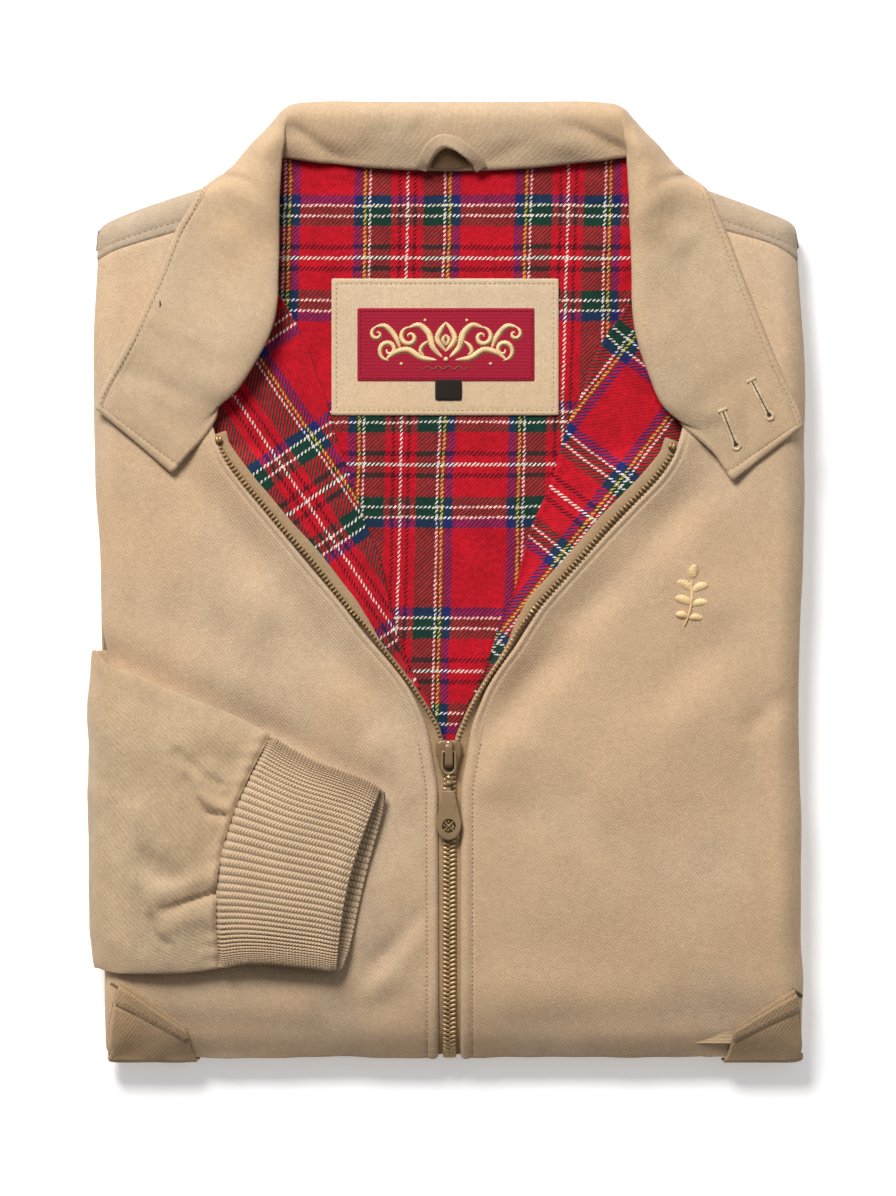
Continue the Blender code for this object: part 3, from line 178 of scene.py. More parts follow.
LOWER_LAYER_REACH = 8.0
PULL_X = 0.9
BRIDGE_Y = -89.4
LINK_BAR_Y = -106.0
PIVOT_Z = 36.3

# ---------------------------------------------------------------- number helpers


def smooth_step(value):
    value = np.clip(value, 0.0, 1.0)
    return value * value * (3.0 - 2.0 * value)


def mix(first, second, share):
    return first + (second - first) * share


def hill(distance, width):
    return np.exp(-(distance / width) ** 2)


def look_up(table, key):
    """The table's value at key, on a smooth curve through its rows."""
    rows = np.array(table, dtype=float)
    xs, ys = rows[:, 0], rows[:, 1]
    steps = np.diff(ys) / np.diff(xs)
    slopes = np.empty(len(xs))
    slopes[0] = steps[0]
    slopes[-1] = steps[-1]
    slopes[1:-1] = (ys[2:] - ys[:-2]) / (xs[2:] - xs[:-2])
    key = np.clip(np.asarray(key, dtype=float), xs[0], xs[-1])
    index = np.clip(np.searchsorted(xs, key) - 1, 0, len(xs) - 2)
    width = xs[index + 1] - xs[index]
    t = (key - xs[index]) / width
    return ((1 + 2 * t) * (1 - t) ** 2 * ys[index] + t * (1 - t) ** 2 * width * slopes[index]
            + t * t * (3 - 2 * t) * ys[index + 1] + t * t * (t - 1) * width * slopes[index + 1])


def unit(vectors):
    return vectors / np.maximum(np.linalg.norm(vectors, axis=-1, keepdims=True), 1e-9)


def squared(value, power):
    """A sine or cosine pushed out towards a square."""
    return np.sign(value) * np.abs(value) ** power


def lengths_along(path):
    return np.concatenate([[0.0], np.cumsum(np.linalg.norm(np.diff(path, axis=0), axis=1))])


def curve_at(points, places):
    """Points of a Catmull-Rom curve through control points, at places from 0 to 1."""
    points = np.array(points, dtype=float)
    padded = np.concatenate([2 * points[:1] - points[1:2], points, 2 * points[-1:] - points[-2:-1]])
    places = np.asarray(places, dtype=float) * (len(points) - 1)
    index = np.clip(places.astype(int), 0, len(points) - 2)
    t = (places - index).reshape(-1, *([1] * (points.ndim - 1)))
    a, b, c, d = (padded[index + shift] for shift in range(4))
    return 0.5 * (2 * b + (c - a) * t + (2 * a - 5 * b + 4 * c - d) * t ** 2
                  + (3 * b - a - 3 * c + d) * t ** 3)


def smooth_line(points, count):
    return curve_at(points, np.linspace(0.0, 1.0, count))


def ripple(x, y, wavelength, seed):
    """A soft random landscape of about -1 to 1, the same on every run."""
    dice = random.Random(seed)
    total = 0.0
    for _ in range(7):
        angle = dice.uniform(0.0, math.pi)
        pace = 2 * math.pi / (wavelength * dice.uniform(0.7, 1.6))
        turn = dice.uniform(0.0, 2 * math.pi)
        total = total + np.sin((x * math.cos(angle) + y * math.sin(angle)) * pace + turn)
    return total / 4.0


def creases(x, y, table):
    """The height that soft folds add: each runs from one point to another, then fades."""
    total = np.zeros(np.shape(x))
    for x0, y0, x1, y1, width, height in table:
        length = math.hypot(x1 - x0, y1 - y0)
        c, s = (x1 - x0) / length, (y1 - y0) / length
        run = ((x - x0) * c + (y - y0) * s) / length
        side = (y - y0) * c - (x - x0) * s
        fade = smooth_step((run + 0.35) / 0.5) * smooth_step((1.35 - run) / 0.5)
        total = total + height * fade * hill(side, width)
    return total


def bent_creases(x, y, table):
    """Folds along bent lines: each is its points, then its widths and heights at both ends."""
    total = np.zeros(np.shape(x))
    for points, first_width, last_width, first_height, last_height in table:
        line = smooth_line(points, 24)
        away = np.sqrt((x[..., None] - line[:, 0]) ** 2 + (y[..., None] - line[:, 1]) ** 2)
        gap = away.min(axis=-1)
        share = np.argmin(away, axis=-1) / (len(line) - 1)
        width = mix(first_width, last_width, share)
        total = total + mix(first_height, last_height, share) * hill(gap, width)
    return total


# ---------------------------------------------------------------- the body surface


def body_top(x, y):
    """Height of the upper side of the folded body."""
    crown = BODY_CROWN * (1.0 - (x / 190.0) ** 2)
    sag = 6.0 * np.clip((-120.0 - y) / 131.5, 0.0, 1.0) ** 2
    sag = sag + 11.0 * np.clip((-208.0 - y) / 43.5, 0.0, 1.0) ** 2
    return BODY_TOP + crown - sag - SHOULDER_DROP * smooth_step((y - 110.0) / 95.0)


def body_bottom(y):
    return BACK_RISE * smooth_step((y - 186.0) / 13.0)


def body_at(cx, cy):
    """Points on the jacket's outside, where cx and cy run over the cloth itself."""
    cx, cy = np.broadcast_arrays(np.asarray(cx, dtype=float), np.asarray(cy, dtype=float))
    high_start = look_up(SHOULDER_LINE, cx) - TOP_ROLL
    low_arc = LOW_START - cy
    high_arc = cy - high_start
    low_roll = (low_arc > 0) & (low_arc <= math.pi * BOTTOM_ROLL)
    low_flat = low_arc > math.pi * BOTTOM_ROLL
    high_roll = (high_arc > 0) & (high_arc <= math.pi * TOP_ROLL)
    high_flat = high_arc > math.pi * TOP_ROLL
    side_y = np.where(low_roll, np.sin(low_arc / BOTTOM_ROLL), 0.0)
    side_y = np.where(high_roll, np.sin(high_arc / TOP_ROLL), side_y)
    under = low_flat | high_flat | (low_roll & (low_arc > math.pi * BOTTOM_ROLL / 2))
    under = under | (high_roll & (high_arc > math.pi * TOP_ROLL / 2))
    y = np.where(low_roll, LOW_START, cy)
    y = np.where(low_flat, LOW_START + low_arc - math.pi * BOTTOM_ROLL, y)
    y = np.where(high_roll, high_start, y)
    y = np.where(high_flat, high_start - (high_arc - math.pi * TOP_ROLL), y)
    left = look_up(LEFT_EDGE, y) + SIDE_ROLL
    right = look_up(RIGHT_EDGE, y) - SIDE_ROLL
    past = np.maximum(left - cx, cx - right)
    side_x = np.where(past > 0, np.sin(np.clip(past / SIDE_ROLL, 0.0, math.pi / 2)), 0.0)
    x = np.clip(cx, left, right)
    strong = np.maximum(side_x, side_y)
    norm = (side_x ** CORNER_POWER + side_y ** CORNER_POWER) ** (1.0 / CORNER_POWER)
    squash = np.where(norm > 0, strong / np.maximum(norm, 1e-9), 1.0)
    y = y + np.where(cy > 0, TOP_ROLL, -BOTTOM_ROLL) * side_y * squash
    x = x + np.where(cx > 0, SIDE_ROLL, -SIDE_ROLL) * side_x * squash
    drop = np.sqrt(np.maximum(0.0, 1.0 - strong * strong))
    over_z = EDGE_HEIGHT + (body_top(x, y) - EDGE_HEIGHT) * drop
    under_z = EDGE_HEIGHT - (EDGE_HEIGHT - body_bottom(y)) * drop
    return np.stack([x, y, np.where(under, under_z, over_z)], axis=-1)


def under_y(y):
    """How far along the cloth a place y on the underside lies."""
    return LOW_START - math.pi * BOTTOM_ROLL - (y - LOW_START)


# ---------------------------------------------------------------- mesh helpers


def add_piece(name, verts, faces, finish, slot_name, uv=None, body="jacket", sharp=50.0):
    """A mesh object from points in millimetres, riding on a CAD body."""
    mesh = bpy.data.meshes.new(name)
    mesh.from_pydata((np.array(verts, dtype=float) * MM).tolist(), [], [list(f) for f in faces])
    if uv is not None:
        layer = mesh.uv_layers.new(name="cloth")
        index = np.empty(len(mesh.loops), dtype=int)
        mesh.loops.foreach_get("vertex_index", index)
        layer.data.foreach_set("uv", (np.array(uv, dtype=float)[index] * MM).ravel())
    mesh.update()
    mesh.shade_smooth()
    mesh.set_sharp_from_angle(angle=math.radians(sharp))
    mesh.materials.append(finish)
    made = bpy.data.objects.new(name, mesh)
    scene.collection.objects.link(made)
    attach(made, body)
    return made


def grid_normals(grid, flip=False):
    normals = unit(np.cross(np.gradient(grid, axis=1), np.gradient(grid, axis=0)))
    return -normals if flip else normals


def raised(grid, height, flip=False):
    return grid + grid_normals(grid, flip) * np.asarray(height)[..., None]


def arc_uv(grid):
    """Cloth coordinates from lengths along the grid's rows and columns."""
    across = np.linalg.norm(np.diff(grid, axis=1), axis=2)
    along = np.linalg.norm(np.diff(grid, axis=0), axis=2)
    u = np.concatenate([np.zeros((len(grid), 1)), np.cumsum(across, axis=1)], axis=1)
    v = np.concatenate([np.zeros((1, grid.shape[1])), np.cumsum(along, axis=0)], axis=0)
    return np.stack([u, v], axis=-1)


def wall_mesh(grid, out, into, flip=False, keep=None, uv=None, puff=0.55):
    """A closed wall of cloth between two offsets of a grid, its edges rounded."""
    rows, columns = grid.shape[:2]
    normals = grid_normals(grid, flip)
    count = rows * columns
    ids = np.arange(count).reshape(rows, columns)
    if keep is None:
        keep = np.ones((rows - 1, columns - 1), dtype=bool)
    a, b, c, d = ids[:-1, :-1], ids[1:, :-1], ids[1:, 1:], ids[:-1, 1:]
    top = np.stack([a, b, c, d], axis=-1)[keep]
    beyond = np.pad(keep, 1)
    sides = ((keep & ~beyond[1:-1, :-2], a, b), (keep & ~beyond[2:, 1:-1], b, c),
             (keep & ~beyond[1:-1, 2:], c, d), (keep & ~beyond[:-2, 1:-1], d, a))
    edges = np.concatenate([np.stack([p[mask], q[mask]], axis=-1) for mask, p, q in sides])
    if not flip:
        top = top[:, ::-1]
        edges = edges[:, ::-1]
    flat_points = grid.reshape(-1, 3)
    flat_normals = normals.reshape(-1, 3)
    outward = np.zeros((count, 3))
    tangent = flat_points[edges[:, 1]] - flat_points[edges[:, 0]]
    push = unit(np.cross(tangent, (flat_normals[edges[:, 0]] + flat_normals[edges[:, 1]]) / 2))
    np.add.at(outward, edges[:, 0], push)
    np.add.at(outward, edges[:, 1], push)
    rim = np.unique(edges)
    outward = unit(outward[rim])
    middle = flat_points[rim] + flat_normals[rim] * (out + into) / 2
    middle = middle + outward * (out - into) * puff
    place = np.full(count, -1)
    place[rim] = 2 * count + np.arange(len(rim))
    p, q = edges[:, 0], edges[:, 1]
    faces = np.concatenate([top, top[:, ::-1] + count,
                            np.stack([q, p, place[p], place[q]], axis=-1),
                            np.stack([place[q], place[p], p + count, q + count], axis=-1)])
    verts = np.concatenate([flat_points + flat_normals * out, flat_points + flat_normals * into, middle])
    if uv is None:
        uv = arc_uv(grid)
    flat_uv = uv.reshape(-1, 2)
    uvs = np.concatenate([flat_uv, flat_uv, flat_uv[rim]])
    used = np.unique(faces)
    fresh = np.full(len(verts), -1)
    fresh[used] = np.arange(len(used))
    return verts[used], fresh[faces], uvs[used]


def cloth(name, grid, out, into, finish, slot_name, flip=False, keep=None, uv=None, puff=0.55):
    verts, faces, uvs = wall_mesh(grid, out, into, flip, keep, uv, puff)
    return add_piece(name, verts, faces, finish, slot_name, uvs)


def ring_faces(rows, count, closed_along=False, first=0):
    """Quads of a skin over closed rings of count points."""
    faces = []
    for row in range(rows if closed_along else rows - 1):
        follow_row = (row + 1) % rows
        for index in range(count):
            follow = (index + 1) % count
            faces.append((first + row * count + index, first + row * count + follow,
                          first + follow_row * count + follow, first + follow_row * count + index))
    return faces


def capped_faces(rows, count):
    """The same with a face over both ends."""
    faces = ring_faces(rows, count)
    faces.append(tuple(reversed(range(count))))
    faces.append(tuple((rows - 1) * count + index for index in range(count)))
    return faces


def add_joined(name, parts, finish, slot_name, body="jacket"):
    """One piece from many small meshes, each a pair of points and faces."""
    verts, faces, start = [], [], 0
    for part_verts, part_faces in parts:
        verts.append(np.array(part_verts, dtype=float))
        faces += [[index + start for index in face] for face in part_faces]
        start += len(part_verts)
    return add_piece(name, np.concatenate(verts), faces, finish, slot_name, body=body)


def sweep(path, radii, sides=8, closed=False, flat=1.0, up=(0.0, 0.0, 1.0)):
    """A tube along a path; radii is one number or one for each point."""
    path = np.array(path, dtype=float)
    radii = np.broadcast_to(np.asarray(radii, dtype=float), len(path))
    if closed:
        heading = unit(np.roll(path, -1, axis=0) - np.roll(path, 1, axis=0))
    else:
        heading = unit(np.gradient(path, axis=0))
    side = unit(np.cross(heading, np.array(up)))
    over = np.cross(side, heading)
    angles = (2 * math.pi * np.arange(sides) / sides)[None, :, None]
    ring = side[:, None] * np.cos(angles) + over[:, None] * (flat * np.sin(angles))
    verts = (path[:, None] + ring * radii[:, None, None]).reshape(-1, 3)
    return verts, ring_faces(len(path), sides, True) if closed else capped_faces(len(path), sides)


def ball(centre, radius, rows=8, sides=14):
    verts = [(centre[0], centre[1], centre[2] - radius)]
    for row in range(1, rows):
        tilt = math.pi * row / rows
        for index in range(sides):
            turn = 2 * math.pi * index / sides
            verts.append((centre[0] + radius * math.sin(tilt) * math.cos(turn),
                          centre[1] + radius * math.sin(tilt) * math.sin(turn),
                          centre[2] - radius * math.cos(tilt)))
    verts.append((centre[0], centre[1], centre[2] + radius))
    faces = ring_faces(rows - 1, sides, False, 1)
    last = len(verts) - 1
    for index in range(sides):
        follow = (index + 1) % sides
        faces.append((0, 1 + follow, 1 + index))
        faces.append((last, last - sides + index, last - sides + follow))
    return verts, faces


def resample(path, pitch):
    """Points at an even pitch along a path."""
    path = np.array(path, dtype=float)
    lengths = lengths_along(path)
    count = max(2, int(round(lengths[-1] / pitch)) + 1)
    wanted = np.linspace(0.0, lengths[-1], count)
    return np.stack([np.interp(wanted, lengths, column) for column in path.T], axis=-1)


# ---------------------------------------------------------------- materials


class Graph:
    """Short names for building one material's nodes."""

    def __init__(self, name, roughness, metallic=0.0, sheen=0.0, specular=0.3):
        self.material = bpy.data.materials.new(name)
        self.material.use_nodes = True
        self.tree = self.material.node_tree
        self.shader = self.tree.nodes["Principled BSDF"]
        self.shader.inputs["Roughness"].default_value = roughness
        self.shader.inputs["Metallic"].default_value = metallic
        self.shader.inputs["Specular IOR Level"].default_value = specular
        self.shader.inputs["Sheen Weight"].default_value = sheen
        self.shader.inputs["Sheen Roughness"].default_value = 0.5

    def node(self, kind, **settings):
        made = self.tree.nodes.new(kind)
        for key, value in settings.items():
            setattr(made, key, value)
        return made

    def put(self, value, socket):
        if isinstance(value, bpy.types.NodeSocket):
            self.tree.links.new(value, socket)
        else:
            socket.default_value = value

    def math(self, operation, first, second=0.0, third=0.0):
        made = self.node("ShaderNodeMath", operation=operation)
        for value, socket in zip((first, second, third), made.inputs):
            self.put(value, socket)
        return made.outputs[0]

    def blend(self, share, first, second, mode="MIX"):
        made = self.node("ShaderNodeMix", data_type="RGBA", blend_type=mode)
        self.put(share, made.inputs[0])
        self.put(first, made.inputs[6])
        self.put(second, made.inputs[7])
        return made.outputs[2]

    def uv(self):
        """The cloth's own coordinates, in millimetres."""
        source = self.node("ShaderNodeUVMap", uv_map="cloth")
        parts = self.node("ShaderNodeSeparateXYZ")
        self.put(source.outputs[0], parts.inputs[0])
        return (self.math("MULTIPLY", parts.outputs[0], 1000.0),
                self.math("MULTIPLY", parts.outputs[1], 1000.0))

    def place(self):
        return self.node("ShaderNodeTexCoord").outputs["Object"]

    def noise(self, scale, detail=2.0, roughness=0.5, vector=None):
        made = self.node("ShaderNodeTexNoise")
        self.put(vector if vector is not None else self.place(), made.inputs["Vector"])
        made.inputs["Scale"].default_value = scale
        made.inputs["Detail"].default_value = detail
        made.inputs["Roughness"].default_value = roughness
        return made.outputs[0]

    def ramp(self, value, stops, kind="LINEAR"):
        made = self.node("ShaderNodeValToRGB")
        made.color_ramp.interpolation = kind
        elements = made.color_ramp.elements
        for position, colour in stops[2:]:
            elements.new(position)
        for element, (position, colour) in zip(elements, stops):
            element.position = position
        for element, (position, colour) in zip(elements, stops):
            element.color = (*colour, 1.0)
        self.put(value, made.inputs[0])
        return made.outputs[0]

    def range(self, value, low, high, to_low, to_high, kind="SMOOTHSTEP"):
        made = self.node("ShaderNodeMapRange", interpolation_type=kind)
        for number, item in zip((0, 1, 2, 3, 4), (value, low, high, to_low, to_high)):
            self.put(item, made.inputs[number])
        return made.outputs[0]

    def uneven(self, noise, low, high):
        """Noise as a factor between about low and high."""
        return self.range(noise, 0.3, 0.7, low, high, "LINEAR")

    def from_wave(self, wave, low, high):
        return self.range(wave, -1.0, 1.0, low, high, "LINEAR")

    def product(self, first, *others):
        for other in others:
            first = self.math("MULTIPLY", first, other)
        return first

    def shaded(self, colour, shade):
        """A colour times one factor."""
        tone = self.node("ShaderNodeCombineColor")
        for socket in tone.inputs:
            self.put(shade, socket)
        return self.blend(1.0, colour, tone.outputs[0], "MULTIPLY")

    def wave(self, value, period):
        """A sine of -1 to 1 with this period."""
        return self.math("SINE", self.math("MULTIPLY", value, 2 * math.pi / period))

    def finish(self, colour, heights=()):
        """Colour, and bump from pairs of (height, distance in metres)."""
        self.put(colour, self.shader.inputs["Base Color"])
        normal = None
        for height, distance in heights:
            bump = self.node("ShaderNodeBump")
            bump.inputs["Strength"].default_value = 1.0
            bump.inputs["Distance"].default_value = distance
            self.put(height, bump.inputs["Height"])
            if normal is not None:
                self.put(normal, bump.inputs["Normal"])
            normal = bump.outputs[0]
        if normal is not None:
            self.put(normal, self.shader.inputs["Normal"])
        return self.material


def scaled(colour, factor):
    return tuple(min(1.0, channel * factor) for channel in colour)


def twill(name, colour, period=2.0, lean=0.9, depth=0.00009, mottle=0.10, sheen=0.12, contrast=0.05):
    """Brushed cotton twill: fine diagonals, yarn noise and a soft uneven nap."""
    g = Graph(name, roughness=0.88, sheen=sheen, specular=0.2)
    u, v = g.uv()
    wobble = g.math("MULTIPLY", g.noise(500.0, 3.0), 1.6)
    diagonal = g.math("ADD", g.math("MULTIPLY_ADD", v, lean, u), wobble)
    ridge = g.wave(diagonal, period)
    yarn = g.noise(900.0, 4.0, 0.7)
    fleck = g.noise(260.0, 3.0, 0.6)
    nap = g.noise(55.0, 4.0, 0.62)
    cloud = g.noise(13.0, 2.0, 0.5)
    base = g.ramp(g.uneven(nap, 0.0, 1.0),
                  [(0.0, scaled(colour, 1.0 - mottle)), (1.0, scaled(colour, 1.0 + mottle * 0.7))])
    warm = (colour[0] * 1.03, colour[1] * 0.95, colour[2] * 0.86, 1.0)
    base = g.blend(g.range(cloud, 0.35, 0.65, 0.0, 0.7), base, warm)
    lines = g.from_wave(ridge, 1.0 - contrast, 1.0 + contrast * 0.7)
    shade = g.product(lines, g.product(g.uneven(yarn, 0.86, 1.13), g.uneven(fleck, 0.95, 1.05)))
    return g.finish(g.shaded(base, shade), [(g.from_wave(ridge, 0.0, 1.0), depth), (yarn, 0.0003)])


RED = (0.47, 0.004, 0.014)
STREAK = (0.07, 0.003, 0.010)
GREEN = (0.005, 0.036, 0.024)
NAVY = (0.012, 0.018, 0.115)
WHITE = (0.72, 0.66, 0.58)
YELLOW = (0.55, 0.42, 0.07)
WARP_SETT = [  # mm from the middle of the red stripe
    (0.0, WHITE), (0.6, RED), (3.1, STREAK), (4.9, RED), (8.3, GREEN), (19.0, WHITE),
    (20.2, GREEN), (21.6, YELLOW), (22.8, GREEN), (23.8, NAVY), (28.0, RED)]
WARP_HALF = 42.25
WEFT_SETT = [
    (0.0, WHITE), (0.65, RED), (4.3, STREAK), (6.9, RED), (16.9, GREEN), (21.5, WHITE),
    (22.9, GREEN), (27.0, WHITE), (28.4, NAVY), (33.2, RED)]
WEFT_HALF = 54.4
TWILL_PERIOD = 2.3


def tartan_cloth():
    """Brushed twill tartan: the warp and weft colours show through a diagonal weave."""
    g = Graph("tartan_cloth", roughness=0.9, sheen=0.12, specular=0.15)
    u, v = g.uv()

    def shift(scale, detail, reach):
        return g.math("MULTIPLY", g.math("SUBTRACT", g.noise(scale, detail), 0.5), reach)

    drift = shift(30.0, 1.0, 1.6)

    def stripes(value, fuzz_scale, sett, half):
        """Colours of a sett that mirrors at both ends, with fuzzy stripe edges."""
        value = g.math("ADD", g.math("ADD", value, shift(fuzz_scale, 2.0, 2.2)), drift)
        turns = g.math("FRACT", g.math("ADD", g.math("DIVIDE", value, 2 * half), 0.5))
        folded = g.math("MULTIPLY", g.math("ABSOLUTE", g.math("SUBTRACT", turns, 0.5)), 2.0)
        return g.ramp(folded, [(mm / half, colour) for mm, colour in sett], "CONSTANT")

    warp = stripes(u, 1100.0, WARP_SETT, WARP_HALF)
    weft = stripes(v, 1300.0, WEFT_SETT, WEFT_HALF)
    wobble = g.math("MULTIPLY", g.noise(300.0, 2.0), 0.7)
    diagonal = g.math("ADD", g.math("SUBTRACT", u, v), wobble)
    ridge = g.wave(diagonal, TWILL_PERIOD)
    over = g.range(ridge, -0.22, 0.22, 0.0, 1.0)
    colour = g.blend(over, weft, warp)
    brush = g.noise(420.0, 4.0, 0.65)
    soft = g.noise(70.0, 2.0, 0.5)
    shade = g.product(g.uneven(brush, 0.74, 1.26),
                      g.range(g.math("ABSOLUTE", ridge), 0.0, 0.7, 0.72, 1.06, "LINEAR"),
                      g.uneven(soft, 0.86, 1.1))
    return g.finish(g.shaded(colour, shade), [(over, 0.00014), (brush, 0.0005)])


def knit(name, colour, rib_period):
    """Rib knit: V stitches that run along every rib; u crosses the ribs, v runs along."""
    g = Graph(name, roughness=0.93, sheen=0.2, specular=0.15)
    u, v = g.uv()
    cross = g.wave(u, rib_period)
    lean = g.math("ABSOLUTE", g.wave(u, rib_period * 2))
    stitch = g.wave(g.math("MULTIPLY_ADD", lean, 0.9, v), 1.7)
    yarn = g.noise(1600.0, 3.0, 0.6)
    nap = g.noise(60.0, 3.0, 0.6)
    base = g.ramp(g.uneven(nap, 0.0, 1.0), [(0.0, scaled(colour, 0.92)), (1.0, scaled(colour, 1.06))])
    # Painted shade: the colour darkens between the ribs, in the rib valleys.
    rib_valley_shade = g.range(cross, -1.0, -0.45, 0.45, 1.0)
    shade = g.product(rib_valley_shade, g.from_wave(stitch, 0.80, 1.08), g.uneven(yarn, 0.9, 1.1))
    return g.finish(g.shaded(base, shade), [(stitch, 0.00016), (yarn, 0.0002)])


def plain(name, colour, roughness, metallic=0.0, sheen=0.0, grain=0.08, bump=0.00005,
          scale=900.0, specular=0.4):
    """A surface with a fine uneven grain."""
    g = Graph(name, roughness=roughness, metallic=metallic, sheen=sheen, specular=specular)
    fine = g.noise(scale, 3.0, 0.6)
    wide = g.noise(scale / 12.0, 2.0, 0.5)
    shade = g.product(g.uneven(fine, 1.0 - grain, 1.0 + grain), g.uneven(wide, 1.0 - grain, 1.0 + grain))
    return g.finish(g.shaded((*colour, 1.0), shade), [(fine, bump)])


def ribbed_label(name, colour, period, direction):
    """A woven label: fine ribs in one direction."""
    g = Graph(name, roughness=0.75, sheen=0.05, specular=0.15)
    u, v = g.uv()
    rib = g.wave(v if direction == "v" else u, period)
    fine = g.noise(1800.0, 2.0)
    shade = g.product(g.from_wave(rib, 0.86, 1.08), g.uneven(fine, 0.9, 1.1))
    return g.finish(g.shaded((*colour, 1.0), shade), [(rib, 0.00008)])


khaki = twill("khaki_cloth", (0.560, 0.407, 0.268))
collar_cloth = twill("khaki_collar", (0.500, 0.368, 0.240), lean=0.7, period=2.2, depth=0.00005,
                     mottle=0.08, contrast=0.02)
# The shell khaki darkened: painted shade on the shoulder strips, which face the key light.
back_cloth_shaded = twill("khaki_back_painted_shade", (0.43, 0.335, 0.240))
sleeve_cloth = twill("khaki_sleeve", (0.50, 0.370, 0.236), lean=0.45, depth=0.00006, mottle=0.14)
# The shell khaki darkened: painted shade, for the welts lie in the sleeve's shade on the bottom fold.
welt_cloth_shaded = twill("khaki_welt_painted_shade", (0.41, 0.285, 0.168), lean=-0.75, mottle=0.16)
patch_cloth = twill("khaki_patch", (0.62, 0.47, 0.315), lean=0.0, period=1.4, mottle=0.05,
                    contrast=0.02)
# The tape's own khaki, darkened further as painted shade for the band between the shell's piping and the
# teeth.
tape_cloth_shaded = twill("zip_tape_painted_shade", (0.385, 0.262, 0.148), lean=1.6, period=1.4, depth=0.00006)
tartan = tartan_cloth()
KNIT_COLOUR = (0.68, 0.485, 0.305)
BAND_RIB = 2.4        # mm from rib to rib of the waistband
cuff_knit = knit("rib_knit_cuff", KNIT_COLOUR, 1.0)
band_knit = knit("rib_knit_band", KNIT_COLOUR, BAND_RIB)
layer_cloth = twill("layer_cloth", (0.50, 0.365, 0.225), lean=0.5)
# Dark brown: the thread's own tone darkened further as painted shade, so each stitch reads as its shaded
# hole.
thread = plain("thread", (0.33, 0.22, 0.125), 0.75, sheen=0.2, grain=0.18, scale=2500.0)
light_thread = plain("light_thread", (0.56, 0.42, 0.27), 0.8, sheen=0.2, grain=0.2, scale=2500.0,
                     specular=0.1)
# Dark brown: painted shadow for the seam lines, the pocket mouths and the hollow under the hanger loop.
painted_seam_shadow = plain("seam_shadow", (0.17, 0.105, 0.055), 0.9, grain=0.2, specular=0.1)
# Near black: painted shadow inside the buttonhole slits, and the dark thread mark on the other leaf.
slit_shadow_and_thread_mark = plain("slit_shadow_and_thread_mark", (0.035, 0.02, 0.012), 0.9, grain=0.2)
brass = plain("brass_teeth", (0.54, 0.37, 0.19), 0.42, 0.66, grain=0.15, bump=0.00003, scale=1400.0)
stop_metal = plain("stop_metal", (0.36, 0.22, 0.09), 0.42, 0.8, grain=0.2)
paint = plain("painted_slider", (0.225, 0.137, 0.066), 0.36, 0.1, grain=0.06, bump=0.00002)
pull_paint = plain("painted_pull", (0.275, 0.180, 0.094), 0.38, 0.1, grain=0.06, bump=0.00002)
# Nearly black brown: painted shade for the hollow round the slider's bridge.
recess_shade_paint = plain("painted_recess_shade", (0.06, 0.038, 0.02), 0.6, 0.0, grain=0.06, bump=0.00002)
# Light polished brass for two small balls: real balls whose light colour is also a painted highlight.
highlight_brass = plain("highlight_brass", (0.85, 0.68, 0.42), 0.2, 1.0, grain=0.06, bump=0.00001)
label_red = ribbed_label("label_red_cloth", (0.355, 0.010, 0.032), 0.75, "v")
label_edge = ribbed_label("label_edge_cloth", (0.16, 0.006, 0.018), 0.75, "v")
tab_cloth = ribbed_label("size_tab_cloth", (0.022, 0.017, 0.013), 0.6, "u")
gold = plain("gold_thread_satin", (0.76, 0.53, 0.27), 0.45, sheen=0.2, grain=0.2, scale=2200.0)
# Dark brown: the ornament's dark outlines and thin line, and its painted drop shadow.
gold_outline_and_shadow = plain("gold_outline_and_painted_shadow", (0.25, 0.11, 0.045), 0.7, grain=0.2, scale=2200.0)
copper_thread = plain("copper_thread", (0.50, 0.25, 0.095), 0.6, grain=0.2, scale=2200.0)

# ---------------------------------------------------------------- stitching


def stitch_row(path, normals, pitch, length, width, sink=0.35, seed=1):
    """A row of short thread dashes along a path, each end diving into the cloth."""
    dice = random.Random(seed)
    both = resample(np.concatenate([path, normals], axis=1), 0.4)
    lengths = lengths_along(both[:, :3])
    parts = []
    start = pitch * 0.3
    while start + length < lengths[-1]:
        centre_shift = dice.uniform(-0.08, 0.08) * pitch
        places = start + centre_shift + np.linspace(0.0, length, 5)
        points = np.stack([np.interp(places, lengths, column) for column in both.T], axis=-1)
        lift = np.array([-sink, width * 0.30, width * 0.42, width * 0.30, -sink])
        line = points[:, :3] + points[:, 3:] * lift[:, None]
        radii = width / 2 * np.array([0.55, 0.95, 1.0, 0.95, 0.55])
        parts.append(sweep(line, radii, 6, up=tuple(points[2, 3:])))
        start += pitch
    return parts


# ---------------------------------------------------------------- fronts

